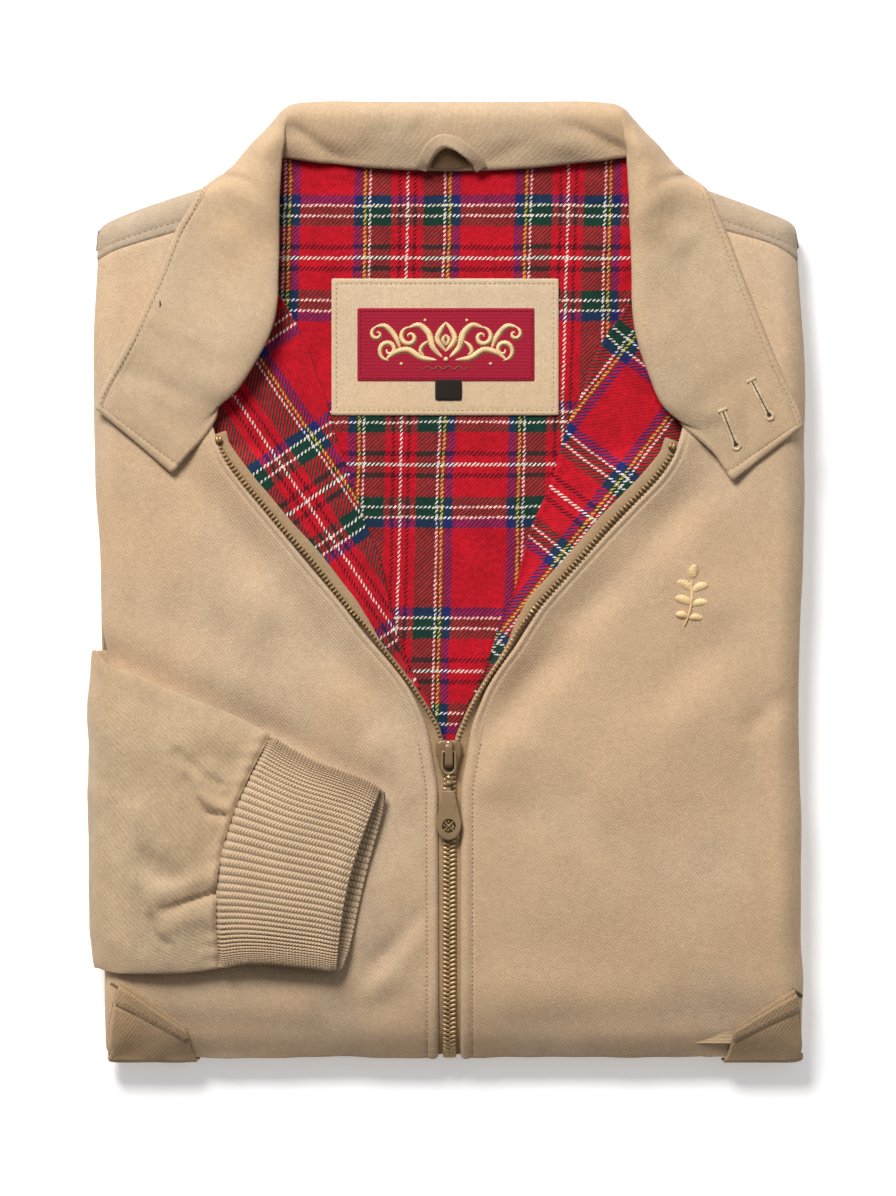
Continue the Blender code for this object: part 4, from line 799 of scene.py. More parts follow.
NEAR_EDGE = [0.0, 0.5, 1.0, 1.6, 2.3, 3.1, 4.0, 4.9, 5.5, 6.0, 6.5, 7.1, 8.0, 9.3, 11.0, 13.0,
             15.5, 18.0, 21.0, 24.0]
STITCH_IN = 6.0
BODY_FOLDS = [  # soft folds on the fronts: x0, y0, x1, y1, width, height
    (-188.0, -36.0, -93.0, -80.0, 10.0, -3.4),
    (-93.0, -80.0, -36.0, -108.0, 8.0, -2.6),
    (-90.0, -208.0, -30.0, -196.0, 10.0, -1.4),
    (-46.0, -212.0, -14.0, -176.0, 5.0, -1.6),
    (-36.0, -214.0, -4.0, -178.0, 6.5, 1.1),
    (-62.0, -226.0, -25.0, -222.0, 9.0, -1.2),
    (-150.0, -232.0, -60.0, -238.0, 7.0, -0.8),
    (40.0, -234.0, 150.0, -228.0, 9.0, -1.0),
    (20.0, -108.0, 34.0, -82.0, 12.0, 2.2),
    (-20.0, -112.0, -34.0, -84.0, 11.0, 2.0),
    (36.0, -124.0, 70.0, -112.0, 14.0, -1.6),
    (30.0, -62.0, 60.0, -40.0, 11.0, -1.2),
    (60.0, -120.0, 150.0, -60.0, 24.0, 1.6),
    (35.0, -190.0, 130.0, -215.0, 20.0, -1.6),
    (-60.0, -60.0, -30.0, -80.0, 12.0, 1.2),
    (-140.0, 20.0, -100.0, -30.0, 22.0, 1.4),
    (-172.0, 40.0, -168.0, -20.0, 9.0, -1.0),
    (108.0, -66.0, 152.0, -22.0, 12.0, -1.7),
    (150.0, 40.0, 172.0, -120.0, 14.0, -1.4),
    (158.0, -78.0, 176.0, -62.0, 6.0, -1.3),
    (172.0, -60.0, 176.0, -190.0, 6.0, 0.8),
    (95.0, 20.0, 150.0, -20.0, 18.0, 1.5),
    (-150.0, -20.0, -80.0, -36.0, 16.0, -1.3)]


def front_relief(cx, cy, inside, slope):
    """Creases of a front; inside is the horizontal distance from its zip edge."""
    away = inside / np.sqrt(1.0 + slope ** 2)
    opened = smooth_step((cy + 92.0) / 30.0) * (1.0 - smooth_step((cy - 68.0) / 14.0))
    closed = smooth_step((-cy - 70.0) / 24.0)
    placket = (0.75 * hill(away - 2.6, 2.4) - 0.9 * hill(away, 0.8)
               - 0.45 * hill(away - STITCH_IN, 0.9))
    standing = 2.6 * np.exp(-(np.maximum(away, 0.0) / 7.5) ** 1.3) - 3.0 * hill(away - 19.0, 11.0)
    hollow = standing - 0.7 * hill(away, 0.6) - 0.5 * hill(away - 3.2, 0.8)
    flat_area = smooth_step((140.0 - cy) / 60.0)
    wide = ripple(cx, cy, 95.0, 11) * 1.3 + ripple(cx, cy, 34.0, 12) * 0.3
    pucker = 0.12 * np.sin(cy * 2 * math.pi / 6.1) * hill(away - STITCH_IN, 2.2) * closed
    settle = smooth_step(away / 16.0)
    return (placket * closed + hollow * opened + wide * settle * flat_area + pucker
            + creases(cx, cy, BODY_FOLDS) * settle)


def front_rows():
    """Places along the cloth, from the shoulder seam round the bottom fold to the hem."""
    return np.concatenate([np.linspace(185.0, LOW_START, 170),
                           np.linspace(LOW_START, LOW_START - math.pi * BOTTOM_ROLL, 34)[1:],
                           under_y(np.linspace(LOW_START, UNDER_HEM_Y, 40)[1:])])


def seam_shift(cx, cy):
    return (look_up(SHOULDER_SEAM, cx) - 185.0) * smooth_step((cy - 90.0) / 95.0)


def front_surface(edge_table, side):
    outline = LEFT_EDGE if side < 0 else RIGHT_EDGE
    cy = front_rows()
    inner = look_up(edge_table, cy)
    slope = np.gradient(inner, cy)
    on_under = cy < LOW_START - math.pi * BOTTOM_ROLL / 2
    mirrored = np.maximum(BOTTOM_Y, 2 * LOW_START - math.pi * BOTTOM_ROLL - cy)
    plan_y = np.where(on_under, mirrored, np.clip(cy, BOTTOM_Y, 186.0))
    limit = np.where(on_under, LOW_SIDE_ANGLE, TOP_SIDE_ANGLE)
    roll_start = look_up(outline, plan_y) - side * SIDE_ROLL
    width = np.abs(roll_start - inner)
    near = np.array(NEAR_EDGE)
    rest = np.linspace(0.0, 1.0, 46)[1:]
    roll = np.linspace(0.0, 1.0, 11)[1:]
    flat = np.concatenate([np.broadcast_to(near, (len(cy), len(near))),
                           near[-1] + (width - near[-1])[:, None] * rest], axis=1)
    arcs = (SIDE_ROLL * np.radians(limit))[:, None] * roll
    inside = np.concatenate([flat, width[:, None] + arcs], axis=1)
    cx = inner[:, None] + side * inside
    tall = np.broadcast_to(cy[:, None], cx.shape)
    shifted = np.where(tall > 90.0, tall + seam_shift(cx, tall), tall)
    grid = body_at(cx, shifted)
    relief = front_relief(cx, shifted, inside, slope[:, None])
    relief = relief - 0.7 * hill(tall - 185.0, 1.6)
    flip = side > 0
    grid = raised(grid, relief, flip)
    return grid, flip, np.stack([cx, shifted], axis=-1)


def build_fronts():
    made = {}
    for name, side, table in (("front_right", -1, RIGHT_FRONT_EDGE), ("front_left", 1, LEFT_FRONT_EDGE)):
        grid, flip, uv = front_surface(table, side)
        piece = cloth("cloth_" + name, grid, 0.0, -SHELL, khaki, "khaki_twill", flip, uv=uv)
        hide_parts(name)
        column = NEAR_EDGE.index(STITCH_IN)
        normals = grid_normals(grid, flip)
        cy = front_rows()
        wanted = (cy < -84.0) & (cy > under_y(UNDER_HEM_Y - 2.0))
        add_joined("stitches_placket_" + name[6:],
                   stitch_row(grid[wanted, column], normals[wanted, column], 2.4, 1.3, 0.6, seed=21 + side),
                   thread, "khaki_twill")
        made[name] = (grid, normals)
    return made


# ---------------------------------------------------------------- back and waistband


ARC_COLUMNS, SHOULDER_COLUMNS, NECK_COLUMNS = 10, 26, 25    # of the back's grid
BACK_SEAM_ROW = 5


def build_back():
    """The back: it shows as a strip over each shoulder and as the whole underside."""
    arcs = np.linspace(-1.0, 0.0, ARC_COLUMNS + 1)[:-1]
    flat_x = np.concatenate([np.linspace(-172.0, -100.0, SHOULDER_COLUMNS),
                             np.linspace(-92.0, 99.0, NECK_COLUMNS), np.linspace(107.0, 172.0, 24)])
    row_kinds = [("seam", s) for s in np.linspace(0.0, 1.0, 9)]
    row_kinds += [("roll", s) for s in np.linspace(0.0, 1.0, 20)[1:]]
    row_kinds += [("under", y) for y in np.linspace(190.0, UNDER_BACK_Y + SEAM_GAP, 24)]
    grid, uv = [], []
    for kind, value in row_kinds:
        plan_y = min(value, 186.0) if kind == "under" else 180.0
        upper = kind == "seam" or (kind == "roll" and value <= 0.5)
        reach = math.radians(TOP_SIDE_ANGLE if upper else LOW_SIDE_ANGLE) * SIDE_ROLL
        left = look_up(LEFT_EDGE, plan_y) + SIDE_ROLL
        right = look_up(RIGHT_EDGE, plan_y) - SIDE_ROLL
        cx = np.concatenate([left + arcs * reach, flat_x, right - arcs[::-1] * reach])
        start = look_up(SHOULDER_LINE, cx) - TOP_ROLL
        if kind == "seam":
            seam = np.minimum(look_up(SHOULDER_SEAM, cx) + SEAM_GAP, start - 1.5)
            cy = mix(seam, start, value)
        elif kind == "roll":
            cy = start + math.pi * TOP_ROLL * value
        else:
            cy = start + math.pi * TOP_ROLL + (start - value)
        grid.append(body_at(cx, cy))
        uv.append(np.stack([cx, cy], axis=-1))
    grid, uv = np.array(grid), np.array(uv)
    neck_first = ARC_COLUMNS + SHOULDER_COLUMNS - 1
    neck_last = neck_first + NECK_COLUMNS + 1
    keep = np.ones((grid.shape[0] - 1, grid.shape[1] - 1), dtype=bool)
    keep[:18, neck_first:neck_last] = False
    fade = np.concatenate([np.ones(12), np.linspace(1.0, 0.0, 18)[:16], np.zeros(len(grid) - 28)])
    relief = (0.4 - 0.35 * hill(np.arange(len(grid)) - BACK_SEAM_ROW, 0.9)) * fade
    top = raised(grid, relief[:, None] * np.ones(grid.shape[1]))
    # Its darker colour is painted shade over the shoulders.
    piece = cloth("cloth_back", top, 0.0, -SHELL, back_cloth_shaded, "khaki_twill", uv=uv, keep=keep)
    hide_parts("back")
    line, normals = top[BACK_SEAM_ROW], grid_normals(top)[BACK_SEAM_ROW]
    parts = []
    for first, last, seed in ((6, neck_first - 1, 3), (neck_last + 1, len(line) - 6, 4)):
        parts += stitch_row(line[first:last], normals[first:last], 3.0, 2.1, 0.42, seed=seed)
    add_joined("stitches_shoulder", parts, thread, "khaki_twill")


def build_waistband():
    rows = np.linspace(UNDER_HEM_Y + SEAM_GAP, UNDER_BACK_Y, 14)
    grid, uv = [], []
    for y in rows:
        left = look_up(LEFT_EDGE, y) + SIDE_ROLL
        right = look_up(RIGHT_EDGE, y) - SIDE_ROLL
        reach = math.radians(LOW_SIDE_ANGLE) * SIDE_ROLL
        cx = np.linspace(left - reach, right + reach, 1000)
        grid.append(body_at(cx, np.full(len(cx), under_y(y))))
        uv.append(np.stack([cx, np.full(len(cx), y)], axis=-1))
    grid, uv = np.array(grid), np.array(uv)
    rib = 0.30 * np.cos(uv[..., 0] * 2 * math.pi / BAND_RIB) - 0.30
    grid = raised(grid, rib, True)
    piece = cloth("knit_waistband", grid, 0.0, -BAND_WALL, band_knit, "rib_knit", True, uv=uv)
    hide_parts("waistband")


# ---------------------------------------------------------------- hidden layers


def build_layers():
    """The stack that the fold hides: its sides show as rounded layers of cloth."""
    ys = np.linspace(BOTTOM_Y + 8.0, 206.0, 150)
    levels = np.linspace(0.0, 1.0, 45)
    rings = []
    for y in ys:
        ends = smooth_step((y - BOTTOM_Y - 8.0) / 22.0) * (1.0 - smooth_step((y - 170.0) / 30.0))
        tuck = 2.0 + 9.0 * (1.0 - ends)
        half = []
        for side in (-1, 1):
            table = LEFT_EDGE if side < 0 else RIGHT_EDGE
            edge = look_up(table, min(max(y, BOTTOM_Y), 186.0))
            z = mix(2.9, 24.0 - 3.0 * (1.0 - ends), levels)
            lobes = np.abs(np.sin(levels * math.pi * 5.0 + 0.25 * math.sin((y * 0.013 + side) * 2.1)))
            depth = 1.6 * ripple(np.full(levels.shape, y), levels * 60.0, 55.0, 31 + side)
            bow = 3.5 * (2 * levels - 1.0) ** 2 + 5.0 * (2 * levels - 1.0) ** 8
            inset = tuck + bow + 2.2 * (1.0 - lobes ** 0.5) + 0.5 * depth
            if side < 0 and -214.0 < y < -30.0:
                inset = inset + 6.5
            x = edge - side * np.maximum(inset, 0.6)
            half.append(np.stack([x, np.full(levels.shape, y), z], axis=-1))
        bridge = [mix(half[0][-1], half[1][-1], share) for share in np.linspace(0.0, 1.0, 14)[1:-1]]
        low = [mix(half[1][0], half[0][0], share) for share in np.linspace(0.0, 1.0, 8)[1:-1]]
        rings.append(list(half[0]) + bridge + list(half[1][::-1]) + low)
    rings = np.array(rings)
    for y, ring in zip(ys, rings):
        limit = look_up(SHOULDER_LINE, ring[:, 0]) - 13.0
        ring[:, 1] = np.minimum(ring[:, 1], limit)
        opened = ring[:, 2] > 15.5
        sunk = np.minimum(ring[:, 2], look_up(LINING_HEIGHT, y) - 3.0)
        middle = smooth_step((150.0 - np.abs(ring[:, 0])) / 20.0)
        ring[:, 2] = np.where(opened, mix(ring[:, 2], np.minimum(sunk, 17.0), middle), ring[:, 2])
    count = rings.shape[1]
    uv = np.stack(np.broadcast_arrays(ys[:, None], np.arange(count) * 0.55), axis=-1).reshape(-1, 2)
    piece = add_piece("layers", rings.reshape(-1, 3), capped_faces(len(ys), count), layer_cloth,
                      "hidden_layers", uv)
    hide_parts("folded_layers")


# ---------------------------------------------------------------- linings

LINING_FRAMES = {  # turn in degrees, then the shift of the two cloth coordinates
    "back": (0.0, 22.5, -61.5), "right": (34.5, 37.3, -76.0), "left": (-38.0, -61.0, -72.5)}


def tartan_uv(grid, which):
    turn, shift_u, shift_v = LINING_FRAMES[which]
    c, s = math.cos(math.radians(turn)), math.sin(math.radians(turn))
    x, y = grid[..., 0], grid[..., 1]
    u = c * x + s * y + shift_u
    v = -s * x + c * y + shift_v
    if which == "back":
        u = u - 0.026 * (y - 130.0)
    return np.stack([u, v], axis=-1)


def lining_back_sides(y):
    tuck = mix(1.0, 10.0, smooth_step((y + 75.0) / 70.0))
    right = np.maximum(look_up(LINING_EDGE_RIGHT, y) - tuck, -99.0)
    left = np.minimum(look_up(LINING_EDGE_LEFT, y) + tuck, 104.0)
    return right, left


def build_lining_back():
    share = np.linspace(0.0, 1.0, 150)[:, None]
    across = np.linspace(0.0, 1.0, 100)[None, :]
    y = mix(-84.0, 216.0, share) * np.ones_like(across)
    right, left = lining_back_sides(y)
    x = mix(right, left, across)
    y = y + (look_up(NECK_SEAM, x) - 216.0 + 3.5) * smooth_step((share - 0.8) / 0.2)
    z = look_up(LINING_HEIGHT, y) + 0.5 * ripple(x, y, 70.0, 41) + 0.15 * ripple(x, y, 22.0, 42)
    z = z - 0.6 * smooth_step((np.abs(x) - 70.0) / 20.0)
    z = z + creases(x, y, [(-70.0, 204.0, -20.0, 210.0, 6.0, -0.8), (20.0, 40.0, 45.0, -10.0, 7.0, 0.9),
                           (-20.0, 20.0, -5.0, -50.0, 6.0, 0.6), (60.0, 206.0, 88.0, 190.0, 6.0, -0.9)])
    grid = np.stack([x, y, z], axis=-1)
    piece = cloth("lining_back_cloth", grid, 0.0, -LINING, tartan, "tartan",
                  uv=tartan_uv(grid, "back"))
    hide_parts("lining_back")


def teeth_x(table, y):
    rows = np.array(table)
    return np.interp(y, rows[:, 1], rows[:, 0])


def tape_reach(y):
    """How far the open tape lies inside its teeth: it twists over on its way to the slider."""
    return mix(0.6, 5.6, smooth_step((y + 36.0) / 26.0))


def ridge_lift(y):
    """How high the open teeth stand over the body surface."""
    return mix(0.0, 2.7, smooth_step((y + 86.0) / 46.0)) - 1.7 * smooth_step((y - 52.0) / 22.0)


def front_lining_outer(side, y):
    table = RIGHT_TEETH if side < 0 else LEFT_TEETH
    edge_table = RIGHT_FRONT_EDGE if side < 0 else LEFT_FRONT_EDGE
    slant = mix(1.45, 1.0, smooth_step((y - 60.0) / 20.0))
    along_zip = teeth_x(table, y) - side * (tape_reach(y) - 1.3) * slant
    under_collar = look_up(edge_table, y) + side * 3.0
    return mix(along_zip, under_collar, smooth_step((y - 60.0) / 12.0))


def build_lining_fronts():
    for name, side in (("right", -1), ("left", 1)):
        fold_table = LINING_EDGE_RIGHT if side < 0 else LINING_EDGE_LEFT
        y = np.linspace(-78.0, 156.0, 150)[:, None]
        share = np.concatenate([np.linspace(0.0, 0.94, 34), [0.955, 0.97, 0.985, 0.993, 1.0]])
        share = share[None, :]
        outer = front_lining_outer(side, y)
        fold = look_up(fold_table, y)
        fold = np.where(side * (outer - fold) < 1.2, outer - side * 1.2, fold)
        x = mix(outer, fold, share)
        y = y * np.ones_like(share)
        high = body_top(x, y) + ridge_lift(y) - 1.7 - 5.2 * smooth_step((y - 60.0) / 12.0)
        low = look_up(LINING_HEIGHT, y) + 2.4
        z = mix(high, low, smooth_step(share))
        wrinkle = 0.5 * ripple(x, y, 60.0, 51 + side) + 0.12 * ripple(x, y, 20.0, 53 + side)
        z = z + wrinkle * np.sin(share * math.pi) + 0.5 * hill(share - 0.97, 0.03)
        grid = np.stack([x, y, z], axis=-1)
        piece = cloth("lining_front_cloth_" + name, grid, 0.0, -LINING, tartan, "tartan",
                      side > 0, uv=tartan_uv(grid, name), puff=0.8)
        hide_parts("lining_front_" + name)


# ---------------------------------------------------------------- collar

COLLAR_STITCH_IN = 2.9
COLLAR_FOLDS = [
    (-168.0, 118.0, -112.0, 84.0, 8.0, -0.8),
    (-150.0, 150.0, -112.0, 122.0, 10.0, 0.7),
    (-170.0, 96.0, -140.0, 70.0, 6.0, 0.6),
    (-158.0, 132.0, -148.0, 122.0, 5.0, -0.6),
    (160.0, 112.0, 122.0, 84.0, 8.0, -0.7),
    (156.0, 92.0, 160.0, 66.0, 3.6, -0.8),
    (164.0, 96.0, 168.0, 72.0, 4.0, 0.5),
    (132.0, 150.0, 108.0, 120.0, 9.0, 0.6),
    (-176.0, 112.0, -120.0, 92.0, 5.0, -0.7), (-160.0, 140.0, -118.0, 120.0, 4.0, 0.5),
    (-146.0, 66.0, -150.0, 92.0, 4.0, -0.7), (-150.0, 112.0, -132.0, 96.0, 4.0, 0.5),
    (148.0, 62.0, 142.0, 84.0, 4.5, -0.6), (124.0, 170.0, 130.0, 140.0, 8.0, -0.8),
    (110.0, 190.0, 126.0, 178.0, 8.0, 1.7), (-102.0, 190.0, -118.0, 178.0, 8.0, 1.2)]


STAND_FOLDS = [
    (-80.0, 238.0, -57.0, 222.0, 3.6, -2.0), (-84.0, 230.0, -66.0, 221.0, 4.0, 1.0),
    (-50.0, 222.0, -30.0, 236.0, 6.0, -0.8), (24.0, 221.0, 40.0, 231.0, 4.0, -1.1),
    (-6.0, 250.0, -17.0, 235.0, 3.0, -1.2), (13.5, 250.0, 10.0, 242.0, 2.4, -0.9),
    (-14.0, 247.0, -27.0, 233.0, 4.0, 0.8), (45.0, 244.0, 60.0, 226.0, 7.0, 0.8),
    (66.0, 239.5, 91.0, 227.5, 3.6, -2.0), (60.0, 231.0, 84.0, 221.0, 4.5, 1.0)]


def leaf_section(outer_x, outer_y, roll_x, roll_y, seam_x, seam_y, curl):
    """Across a leaf, from its outer edge to its seam: a flat flap where curl is 0, rolled where 1."""
    outer, fold, seam = np.array([(outer_x, outer_y), (roll_x, roll_y), (seam_x, seam_y)])
    away = unit(outer - fold)
    flat_lift = COLLAR_WALL / 2 + SEAM_GAP + 0.2
    flap = [(*mix(outer, fold, share), flat_lift) for share in (0.0, 0.35, 0.62, 0.82, 0.93, 1.0)]
    rolled = [(*outer, flat_lift), (*mix(outer, fold, 0.5), flat_lift + 1.3),
              (*(fold + away * 7.0), 6.4), (*fold, 4.4), (*mix(fold, seam, 0.5), 1.0), (*seam, -0.2)]
    points = mix(np.array(flap), np.array(rolled), curl)
    points[:, 2] += body_top(points[:, 0], points[:, 1])
    return points


def back_section(x):
    seam_y = float(look_up(NECK_SEAM, x))
    return np.array([(x, 206.0, 1.4), (x, 240.0, 3.0), (x, 251.6, 14.0), (x, 246.5, 27.0),
                     (x, 234.0, 27.4), (x, seam_y + 1.6, 22.4)])


def collar_sections():
    """Sections from the wearer's right leaf round the neck to the left one."""
    turn = [np.array(row) for row in TURN_ROWS]
    mirrored = [row * (-1.0, 1.0, 1.0) + (TURN_LEFT_SHIFT, 0.0, 0.0) for row in turn]
    right = [leaf_section(*row) for row in LEAF_RIGHT] + turn
    right += [back_section(x) for x in BACK_COLLAR_X]
    left = [leaf_section(*row) for row in LEAF_LEFT] + mirrored
    left += [back_section(TURN_LEFT_SHIFT - x) for x in BACK_COLLAR_X]
    return np.array(right + [back_section(TURN_LEFT_SHIFT / 2)] + left[::-1])


def eased(count, edge_share, edge_count):
    """Places from 0 to 1 with extra ones close to both ends."""
    edge = np.linspace(0.0, edge_share, edge_count)[:-1]
    middle = np.linspace(edge_share, 1.0 - edge_share, count)
    return np.concatenate([edge, middle, 1.0 - edge[::-1]])


def build_collar():
    across = np.concatenate([np.linspace(0.0, 0.09, 14)[:-1], np.linspace(0.09, 1.0, 44)])
    along = eased(300, 0.014, 12)
    by_section = np.array([curve_at(section, across) for section in collar_sections()])
    grid = curve_at(by_section, along)
    uv = arc_uv(grid)
    v_mid = uv[:, 20, 1]
    from_outer = uv[..., 0]
    from_end = np.minimum(v_mid, v_mid[-1] - v_mid)[:, None] * np.ones(grid.shape[1])
    edge = np.minimum(from_outer, from_end)
    relief = (0.35 * hill(edge - 1.3, 1.0) - 0.4 * hill(edge - COLLAR_STITCH_IN, 0.7)
              - 0.25 * hill(edge, 0.5))
    x, y = grid[..., 0], grid[..., 1]
    is_leaf = smooth_step((200.0 - y) / 20.0) * smooth_step((from_outer - 1.0) / 6.0)
    relief = relief + creases(x, y, COLLAR_FOLDS) * is_leaf
    relief = relief + 0.35 * ripple(x, y, 46.0, 61) * is_leaf + 0.06 * ripple(x, y, 14.0, 62)
    stand = smooth_step((y - 214.0) / 8.0) * smooth_step((across[None, :] - 0.5) / 0.15)
    grid = raised(grid, relief + creases(x, y, STAND_FOLDS) * stand)
    half = COLLAR_WALL / 2
    piece = cloth("collar_cloth", grid, half, -half, collar_cloth, "khaki_twill", uv=uv, puff=0.5)
    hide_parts("collar")
    normals = grid_normals(grid)
    return grid + normals * half, normals, uv


def nearest_place(values, wanted):
    return int(np.argmin(np.abs(values - wanted)))


def collar_stitching(face, normals, uv):
    """Topstitching near the outer edge and the two ends."""
    column = nearest_place(uv[150, :, 0], COLLAR_STITCH_IN)
    visible = face[:, column, 2] > 22.0
    middle = len(face) // 2
    v_mid = uv[:, 20, 1]
    inset_first = nearest_place(v_mid, COLLAR_STITCH_IN)
    inset_last = nearest_place(v_mid[-1] - v_mid, COLLAR_STITCH_IN)
    parts = []
    for rows in (np.arange(inset_first, middle), np.arange(middle, inset_last + 1)):
        kept = rows[visible[rows]]
        parts += stitch_row(face[kept, column], normals[kept, column], 2.7, 1.9, 0.42, seed=int(rows[0]))
    line = slice(column, nearest_place(np.linspace(0, 1, face.shape[1]), 0.985))
    for row in (inset_first, inset_last):
        parts += stitch_row(face[row, line], normals[row, line], 2.7, 1.9, 0.42, seed=row + 5)
    add_joined("stitches_collar", parts, thread, "khaki_twill")


def surface_height(points, x, y):
    """The greatest height of the six nearest points of a cloud, for laying trims."""
    cloud = points.reshape(-1, 3)
    distance = (cloud[:, 0] - x) ** 2 + (cloud[:, 1] - y) ** 2
    return float(cloud[np.argsort(distance)[:6], 2].max())


# ---------------------------------------------------------------- sleeve and cuff

SLEEVE_FOLDS = [
    (-157.0, -146.0, -138.0, -157.0, 6.0, -1.6),
    (-170.0, -90.0, -130.0, -84.0, 10.0, 1.0),
    (-160.0, -118.0, -150.0, -140.0, 9.0, 1.2),
    (-178.0, -116.0, -173.0, -170.0, 7.0, -1.0),
    (-130.0, -90.0, -112.0, -98.0, 6.0, -0.9),
    (-132.0, -72.0, -112.0, -86.0, 7.0, 0.8)]
SLEEVE_BENDS = [  # points, first and last width, first and last height
    ([(-141.0, -90.5), (-133.5, -96.5), (-126.0, -103.0), (-119.0, -107.0)], 3.2, 2.6, -1.5, -1.7),
    ([(-136.0, -104.0), (-132.5, -112.0), (-126.5, -120.5), (-117.0, -123.5)], 2.6, 1.9, -1.2, -2.8),
    ([(-130.0, -112.0), (-122.0, -117.5), (-115.5, -119.5)], 2.6, 2.2, 0.7, 1.3),
    ([(-128.0, -108.0), (-120.0, -112.0), (-114.5, -113.0)], 2.4, 2.2, -0.7, -1.3),
    ([(-149.0, -172.5), (-143.0, -171.0), (-133.0, -167.5), (-121.0, -163.5)], 2.4, 1.7, -1.3, -3.0),
    ([(-152.0, -166.0), (-141.0, -160.0), (-122.0, -154.0)], 5.5, 4.5, 1.2, 1.7),
    ([(-150.0, -183.0), (-139.0, -178.0), (-122.0, -174.0)], 5.0, 4.2, 0.8, 1.2),
    ([(-155.0, -177.0), (-153.0, -185.0), (-147.0, -190.5)], 2.6, 2.2, -1.5, -1.2),
    ([(-160.0, -142.0), (-157.0, -153.0), (-145.0, -157.0)], 4.0, 3.4, -1.2, -1.0),
    ([(-121.0, -134.0), (-118.5, -138.0), (-119.0, -143.0)], 2.4, 2.4, -0.9, -0.9)]


REST_GAP = 0.6        # what lies on the fronts stays this far above them


def tube_points(top, bottom, bow, thickness, angles, skin=0.0, reach=0.0):
    """A flattened ring of the tube between two places; skin is how far inside its wall."""
    top, bottom = np.array(top, dtype=float), np.array(bottom, dtype=float)
    across = 0.5 + (0.5 - skin / np.linalg.norm(top - bottom)) * np.cos(angles)
    rise = squared(np.sin(angles), 0.75)
    plan = mix(bottom[None, :], top[None, :], across[:, None])
    x = plan[:, 0] - bow * np.sin(math.pi * across) - np.minimum(0.0, rise) * reach
    z = body_top(x, plan[:, 1]) + REST_GAP + thickness / 2 + (thickness / 2 - skin) * rise
    return np.stack([x, plan[:, 1], z], axis=-1)


def sleeve_control_rings(angles, skin):
    """Rings of the sleeve from the cuff to the side, round the side and down to its end."""
    rings = [tube_points(row[0:2], row[2:4], row[4], row[5], angles, skin) for row in SLEEVE_ROWS]
    thickness = 6.4
    for step in range(len(SLEEVE_WRAP_ANGLES) + len(SLEEVE_END)):
        top_y = mix(-45.0, -36.5, min(1.0, step / 2.0))
        bottom_y = mix(-206.0, -204.0, min(1.0, step / 2.0))
        half = 0.5 - skin / (top_y - bottom_y)
        y = mix(bottom_y, top_y, 0.5 + half * np.cos(angles))
        rise = squared(np.sin(angles), 0.75)
        edge = look_up(LEFT_EDGE, y)
        if step < len(SLEEVE_WRAP_ANGLES):
            swing = math.radians(SLEEVE_WRAP_ANGLES[step])
            outward = thickness / 2 + (thickness / 2 - skin) * rise
            start = edge + SIDE_ROLL
            tall = body_top(start, y) + REST_GAP - EDGE_HEIGHT
            x = start - (SIDE_ROLL + REST_GAP + outward) * math.sin(swing)
            z = EDGE_HEIGHT + (tall + outward) * math.cos(swing)
        else:
            in_out, in_z, out_out, out_z = SLEEVE_END[step - len(SLEEVE_WRAP_ANGLES)]
            across_wall = math.hypot(in_out - out_out, in_z - out_z)
            share = 0.5 + (0.5 - skin / across_wall) * rise
            x = mix(edge - in_out, edge - out_out, share)
            z = mix(in_z, out_z, share)
        rings.append(np.stack([x, y, z], axis=-1))
    return np.array(rings)


def tube_normals(grid):
    """Outward normals of closed rings: those of the upper side point up."""
    around = np.roll(grid, -1, axis=1) - np.roll(grid, 1, axis=1)
    normals = unit(np.cross(np.gradient(grid, axis=0), around))
    return normals if normals[len(grid) // 2, grid.shape[1] // 4, 2] > 0 else -normals


def tube_uv(outer, around):
    lengths = lengths_along(outer[:, outer.shape[1] // 4])
    return np.stack(np.broadcast_arrays(around, lengths[:, None]), axis=-1)


def tube_piece(name, outer, inner, finish, slot_name, uv_outer):
    """An open tube of cloth with its wall, from an outer and an inner skin."""
    rows, count = outer.shape[:2]
    verts = np.concatenate([outer.reshape(-1, 3), inner.reshape(-1, 3)])
    size = rows * count
    faces = ring_faces(rows, count)
    faces += [tuple(reversed(face)) for face in ring_faces(rows, count, False, size)]
    for index in range(count):
        follow = (index + 1) % count
        faces.append((follow, index, size + index, size + follow))
        last = (rows - 1) * count
        faces.append((last + index, last + follow, size + last + follow, size + last + index))
    uv = np.concatenate([uv_outer.reshape(-1, 2), uv_outer.reshape(-1, 2)])
    return add_piece(name, verts, faces, finish, slot_name, uv)


def build_sleeve():
    count = 220
    angles = 2 * math.pi * np.arange(count) / count
    places = np.concatenate([np.linspace(0.0, 0.03, 6)[:-1], np.linspace(0.03, 1.0, 120)])
    outer = curve_at(sleeve_control_rings(angles, 0.0), places)
    inner = curve_at(sleeve_control_rings(angles, SHELL), places)
    upper = smooth_step((np.sin(angles) + 0.15) / 0.4)[None, :]
    x, y = outer[..., 0], outer[..., 1]
    along = places[:, None]
    relief = creases(x, y, SLEEVE_FOLDS) + bent_creases(x, y, SLEEVE_BENDS)
    relief = relief + 0.7 * ripple(x, y, 42.0, 71) * smooth_step(along / 0.05)
    relief = relief + 0.14 * ripple(x, y, 13.0, 72)
    gathers = np.sin(y * 2 * math.pi / 9.0 + 1.3 * np.sin(y * 0.13))
    relief = relief + 0.30 * gathers * (1.0 - smooth_step(along / 0.12))
    seam_lip = 0.3 * hill(along - 0.035, 0.02) - 1.5 * hill(along, 0.012)
    shift = tube_normals(outer) * ((relief + seam_lip) * upper)[..., None]
    outer, inner = outer + shift, inner + shift
    piece = tube_piece("sleeve_cloth", outer, inner, sleeve_cloth, "khaki_twill",
                       tube_uv(outer, angles / math.pi * 130.0))
    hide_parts("sleeve_right")


